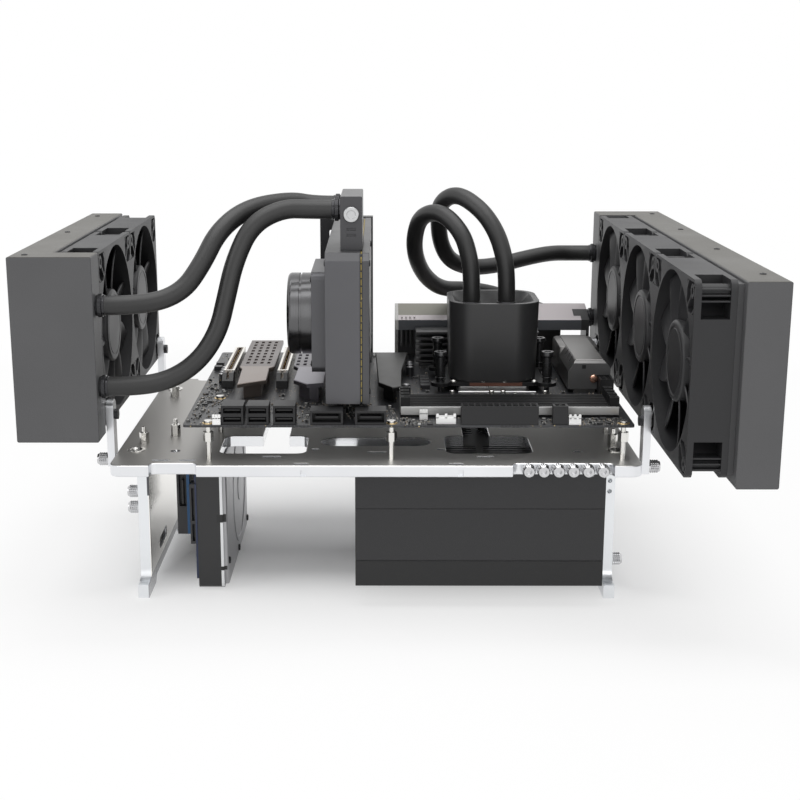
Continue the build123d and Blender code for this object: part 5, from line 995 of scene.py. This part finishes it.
# Drives under the deck: a slim one in a black case, and a hard drive with a cast body, a
# pressed cover held by small screws, and its printed board on the left side.
slim_black = finish("slim_drive_black", (0.028, 0.028, 0.031), 0.4, size=2000)
patch(slim_black, (-0.1402, -0.01, 0), (-0.1378, -0.0075, 0.12), (0.020, 0.120, 0.300))
drive_metal_and_shade = finish("drive_cast_metal", (0.36, 0.36, 0.37), 0.38, metallic=0.9, size=1600)
# Painted shade: the first patch darkens the front of the body; then come the cover's bright edge
# and its two dark notches.
for low, high, colour, metallic in (
        ((-0.13, -0.0395, 0), (-0.1125, -0.0372, 0.12), (0.022, 0.022, 0.023), 0.0),
        ((-0.1125, -0.0395, 0), (-0.1095, -0.0372, 0.12), (0.84, 0.85, 0.86), 0.3),
        ((-0.1150, -0.0395, 0.0530), (-0.1065, -0.0365, 0.0590), (0.012, 0.012, 0.012), 0.0),
        ((-0.1125, -0.0395, 0.0165), (-0.1065, -0.0365, 0.0195), (0.012, 0.012, 0.012), 0.0)):
    patch(drive_metal_and_shade, low, high, colour, metallic)
drive_blue = finish("drive_board_mask", (0.014, 0.024, 0.070), 0.35, size=1600)
patch(drive_blue, (-0.1346, -0.0420, 0.0060), (-0.1334, -0.0285, 0.0340), (0.55, 0.38, 0.06))
patch(drive_blue, (-0.1365, -0.0395, 0.034), (-0.1302, -0.0285, 0.084), (0.018, 0.018, 0.02))
dress(slim_black, "ssd")
dress(drive_metal_and_shade, "hard_drive")
dress(drive_blue, "hard_drive_board")
grommet = chamfered_bar("leg_grommet", (-0.1690, 0.0030, 0.0175), (-0.1655, 0.0390, 0.0265), 0.0004)
rubber_black = finish("grommet_rubber", (0.015, 0.015, 0.015), 0.5, size=1800)
fit(grommet, rubber_black)
drive_face = -0.1075
cover_screw_rings = [(0.0026, -0.0005), (0.0026, 0.0008), (0.0021, 0.0013), (0.0011, 0.0013),
                     (0.0010, 0.0004)]
cover_screw_spots = [(-0.031, 0.022), (-0.031, 0.096), (0.103, 0.010), (0.103, 0.052),
                     (0.103, 0.096), (0.036, 0.008)]
turned_set("cover_screws", cover_screw_rings,
           [((drive_face, y, z), facing_right) for y, z in cover_screw_spots], black_oxide)

# Power supply: a case folded from sheet steel with a fine black powder coat. Its switch
# and mains inlet are glossier mouldings that snap into the right side.
supply_black = finish("supply_powder_coat", (0.0265, 0.0265, 0.028), 0.5, size=1500, depth=0.15,
                      round_edge=0.0006, shine=0.4)
patch(supply_black, (-0.1, -0.0735, 0.0), (0.2, -0.072, 0.0365), (0.0150, 0.0150, 0.0155))
switch_black = finish("switch_plastic", (0.020, 0.020, 0.021), 0.3, size=2200, depth=0.03)
case_step, case_wall, step_start, step_end = 0.005, 0.1558, -0.0368, -0.0375
case = opened_copy("psu_case", "supply_case")
for level_y in (step_start, step_end):
    edit_all()
    bpy.ops.mesh.bisect(plane_co=(0, level_y, 0), plane_no=(0, 1, 0))
choose(case, "VERT", lambda point: point.co.x > case_wall and point.co.y < step_end + 0.0001)
bpy.ops.transform.translate(value=(-case_step, 0, 0))
done_editing()
fit(case, supply_black)
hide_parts("psu_case")
dress(switch_black, "psu_rocker", "psu_inlet")

# Fittings: turned brass under black chrome, with a knurled collar that grips the hose.
# They are screwed into the radiators' tanks, the terminal and the processor block.
fitting_rings = [(0.0069, 0.0), (0.0069, 0.0011), (0.0074, 0.0012), (0.0078, 0.0016),
                 (0.0078, 0.0040), (0.0074, 0.0044), (0.0069, 0.0045), (0.0069, 0.0056),
                 (0.0066, 0.0060)]
collar_radius = 0.0076
fitting = turned("fitting", fitting_rings, sides=48)
choose(fitting, "FACE", lambda face: abs(face.normal.z) < 0.1
       and math.hypot(face.center.x, face.center.y) > collar_radius)
bpy.ops.mesh.inset(thickness=0.0001, use_individual=True)
bpy.ops.transform.resize(value=(0.985, 0.985, 1), center_override=(0, 0, 0))
done_editing()
left_row, right_row, low_port, high_port = -0.0825, 0.18275, 0.164, 0.219
terminal_face, terminal_port, terminal_rows = -0.0242, 0.278, (-0.040, -0.008)
block_port, block_columns = 0.195, (0.0714, 0.0977)
fitting_places = [((-fan_face, left_row, z), facing_right) for z in (low_port, high_port)]
fitting_places += [((fan_face, right_row, z), facing_left) for z in (low_port, high_port)]
fitting_places += [((terminal_face, y, terminal_port), facing_left) for y in terminal_rows]
fitting_places += standing([(x, cooler_y) for x in block_columns], block_port)
fittings = repeated(fitting, "turned_fittings", fitting_places)
fitting_black = finish("fitting_black_chrome", (0.045, 0.045, 0.048), 0.22, metallic=0.8,
                       size=2600)
fit(fittings, fitting_black)
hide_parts("hose_fittings")

# Hoses: matte black rubber, 13 mm across, cut to length. Each is pushed over a fitting at
# both its ends and held there by the fitting's collar.
hose_radius = 0.0065
hose_face, card_face, block_face = 0.179, -0.0302, 0.201
hose_routes = {
    "gpu_hose_rear": [
        (-hose_face, left_row, 0.219), (-0.152, left_row, 0.219), (-0.129, -0.075, 0.2265),
        (-0.1165, -0.066, 0.244), (-0.1065, -0.053, 0.265), (-0.088, -0.033, 0.2785),
        (-0.060, -0.013, 0.2815), (-0.044, -0.008, 0.278), (card_face, -0.008, 0.278),
    ],
    "gpu_hose_front": [
        (-hose_face, left_row, 0.164), (-0.158, left_row, 0.164), (-0.136, -0.0785, 0.1685),
        (-0.118, -0.0745, 0.181), (-0.106, -0.070, 0.200), (-0.101, -0.065, 0.221),
        (-0.0955, -0.059, 0.245), (-0.0845, -0.051, 0.2685), (-0.064, -0.043, 0.279),
        (-0.044, -0.040, 0.278), (card_face, -0.040, 0.278),
    ],
    "cpu_hose_left": [
        (0.0714, 0.043, block_face), (0.0714, 0.043, 0.218), (0.0695, 0.044, 0.234),
        (0.064, 0.049, 0.252), (0.049, 0.064, 0.2665), (0.0335, 0.084, 0.261),
        (0.029, 0.100, 0.2405), (0.0315, 0.117, 0.222), (0.040, 0.135, 0.205),
        (0.054, 0.152, 0.193), (0.074, 0.169, 0.1905), (0.098, 0.178, 0.186),
        (0.124, 0.182, 0.176), (0.148, 0.1835, 0.1665), (0.163, right_row, 0.164),
        (hose_face, right_row, 0.164),
    ],
    "cpu_hose_right": [
        (0.0977, 0.043, block_face), (0.0977, 0.043, 0.218), (0.0955, 0.044, 0.234),
        (0.090, 0.049, 0.252), (0.079, 0.059, 0.268), (0.0615, 0.077, 0.279),
        (0.049, 0.096, 0.270), (0.0485, 0.107, 0.252), (0.051, 0.116, 0.235),
        (0.059, 0.127, 0.220), (0.076, 0.139, 0.2125), (0.100, 0.151, 0.213),
        (0.124, 0.163, 0.2175), (0.146, 0.175, 0.220), (0.163, right_row, 0.219),
        (hose_face, right_row, 0.219),
    ],
}
rubber = finish("hose_rubber", (0.018, 0.018, 0.018), 0.42, size=1400, depth=0.08, round_edge=0)
for hose_name, route in hose_routes.items():
    line = bpy.data.curves.new(hose_name + "_tube", "CURVE")
    line.dimensions = "3D"
    line.bevel_depth = hose_radius
    line.bevel_resolution = 8
    line.resolution_u = 10
    line.use_fill_caps = True
    spline = line.splines.new("NURBS")
    spline.points.add(len(route) - 1)
    for point, spot in zip(spline.points, route):
        point.co = (*spot, 1)
    spline.order_u = 3
    spline.use_endpoint_u = True
    hose = bpy.data.objects.new(hose_name + "_tube", line)
    bpy.context.collection.objects.link(hose)
    line.materials.append(rubber)
    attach(hose, "bench")
    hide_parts(hose_name)
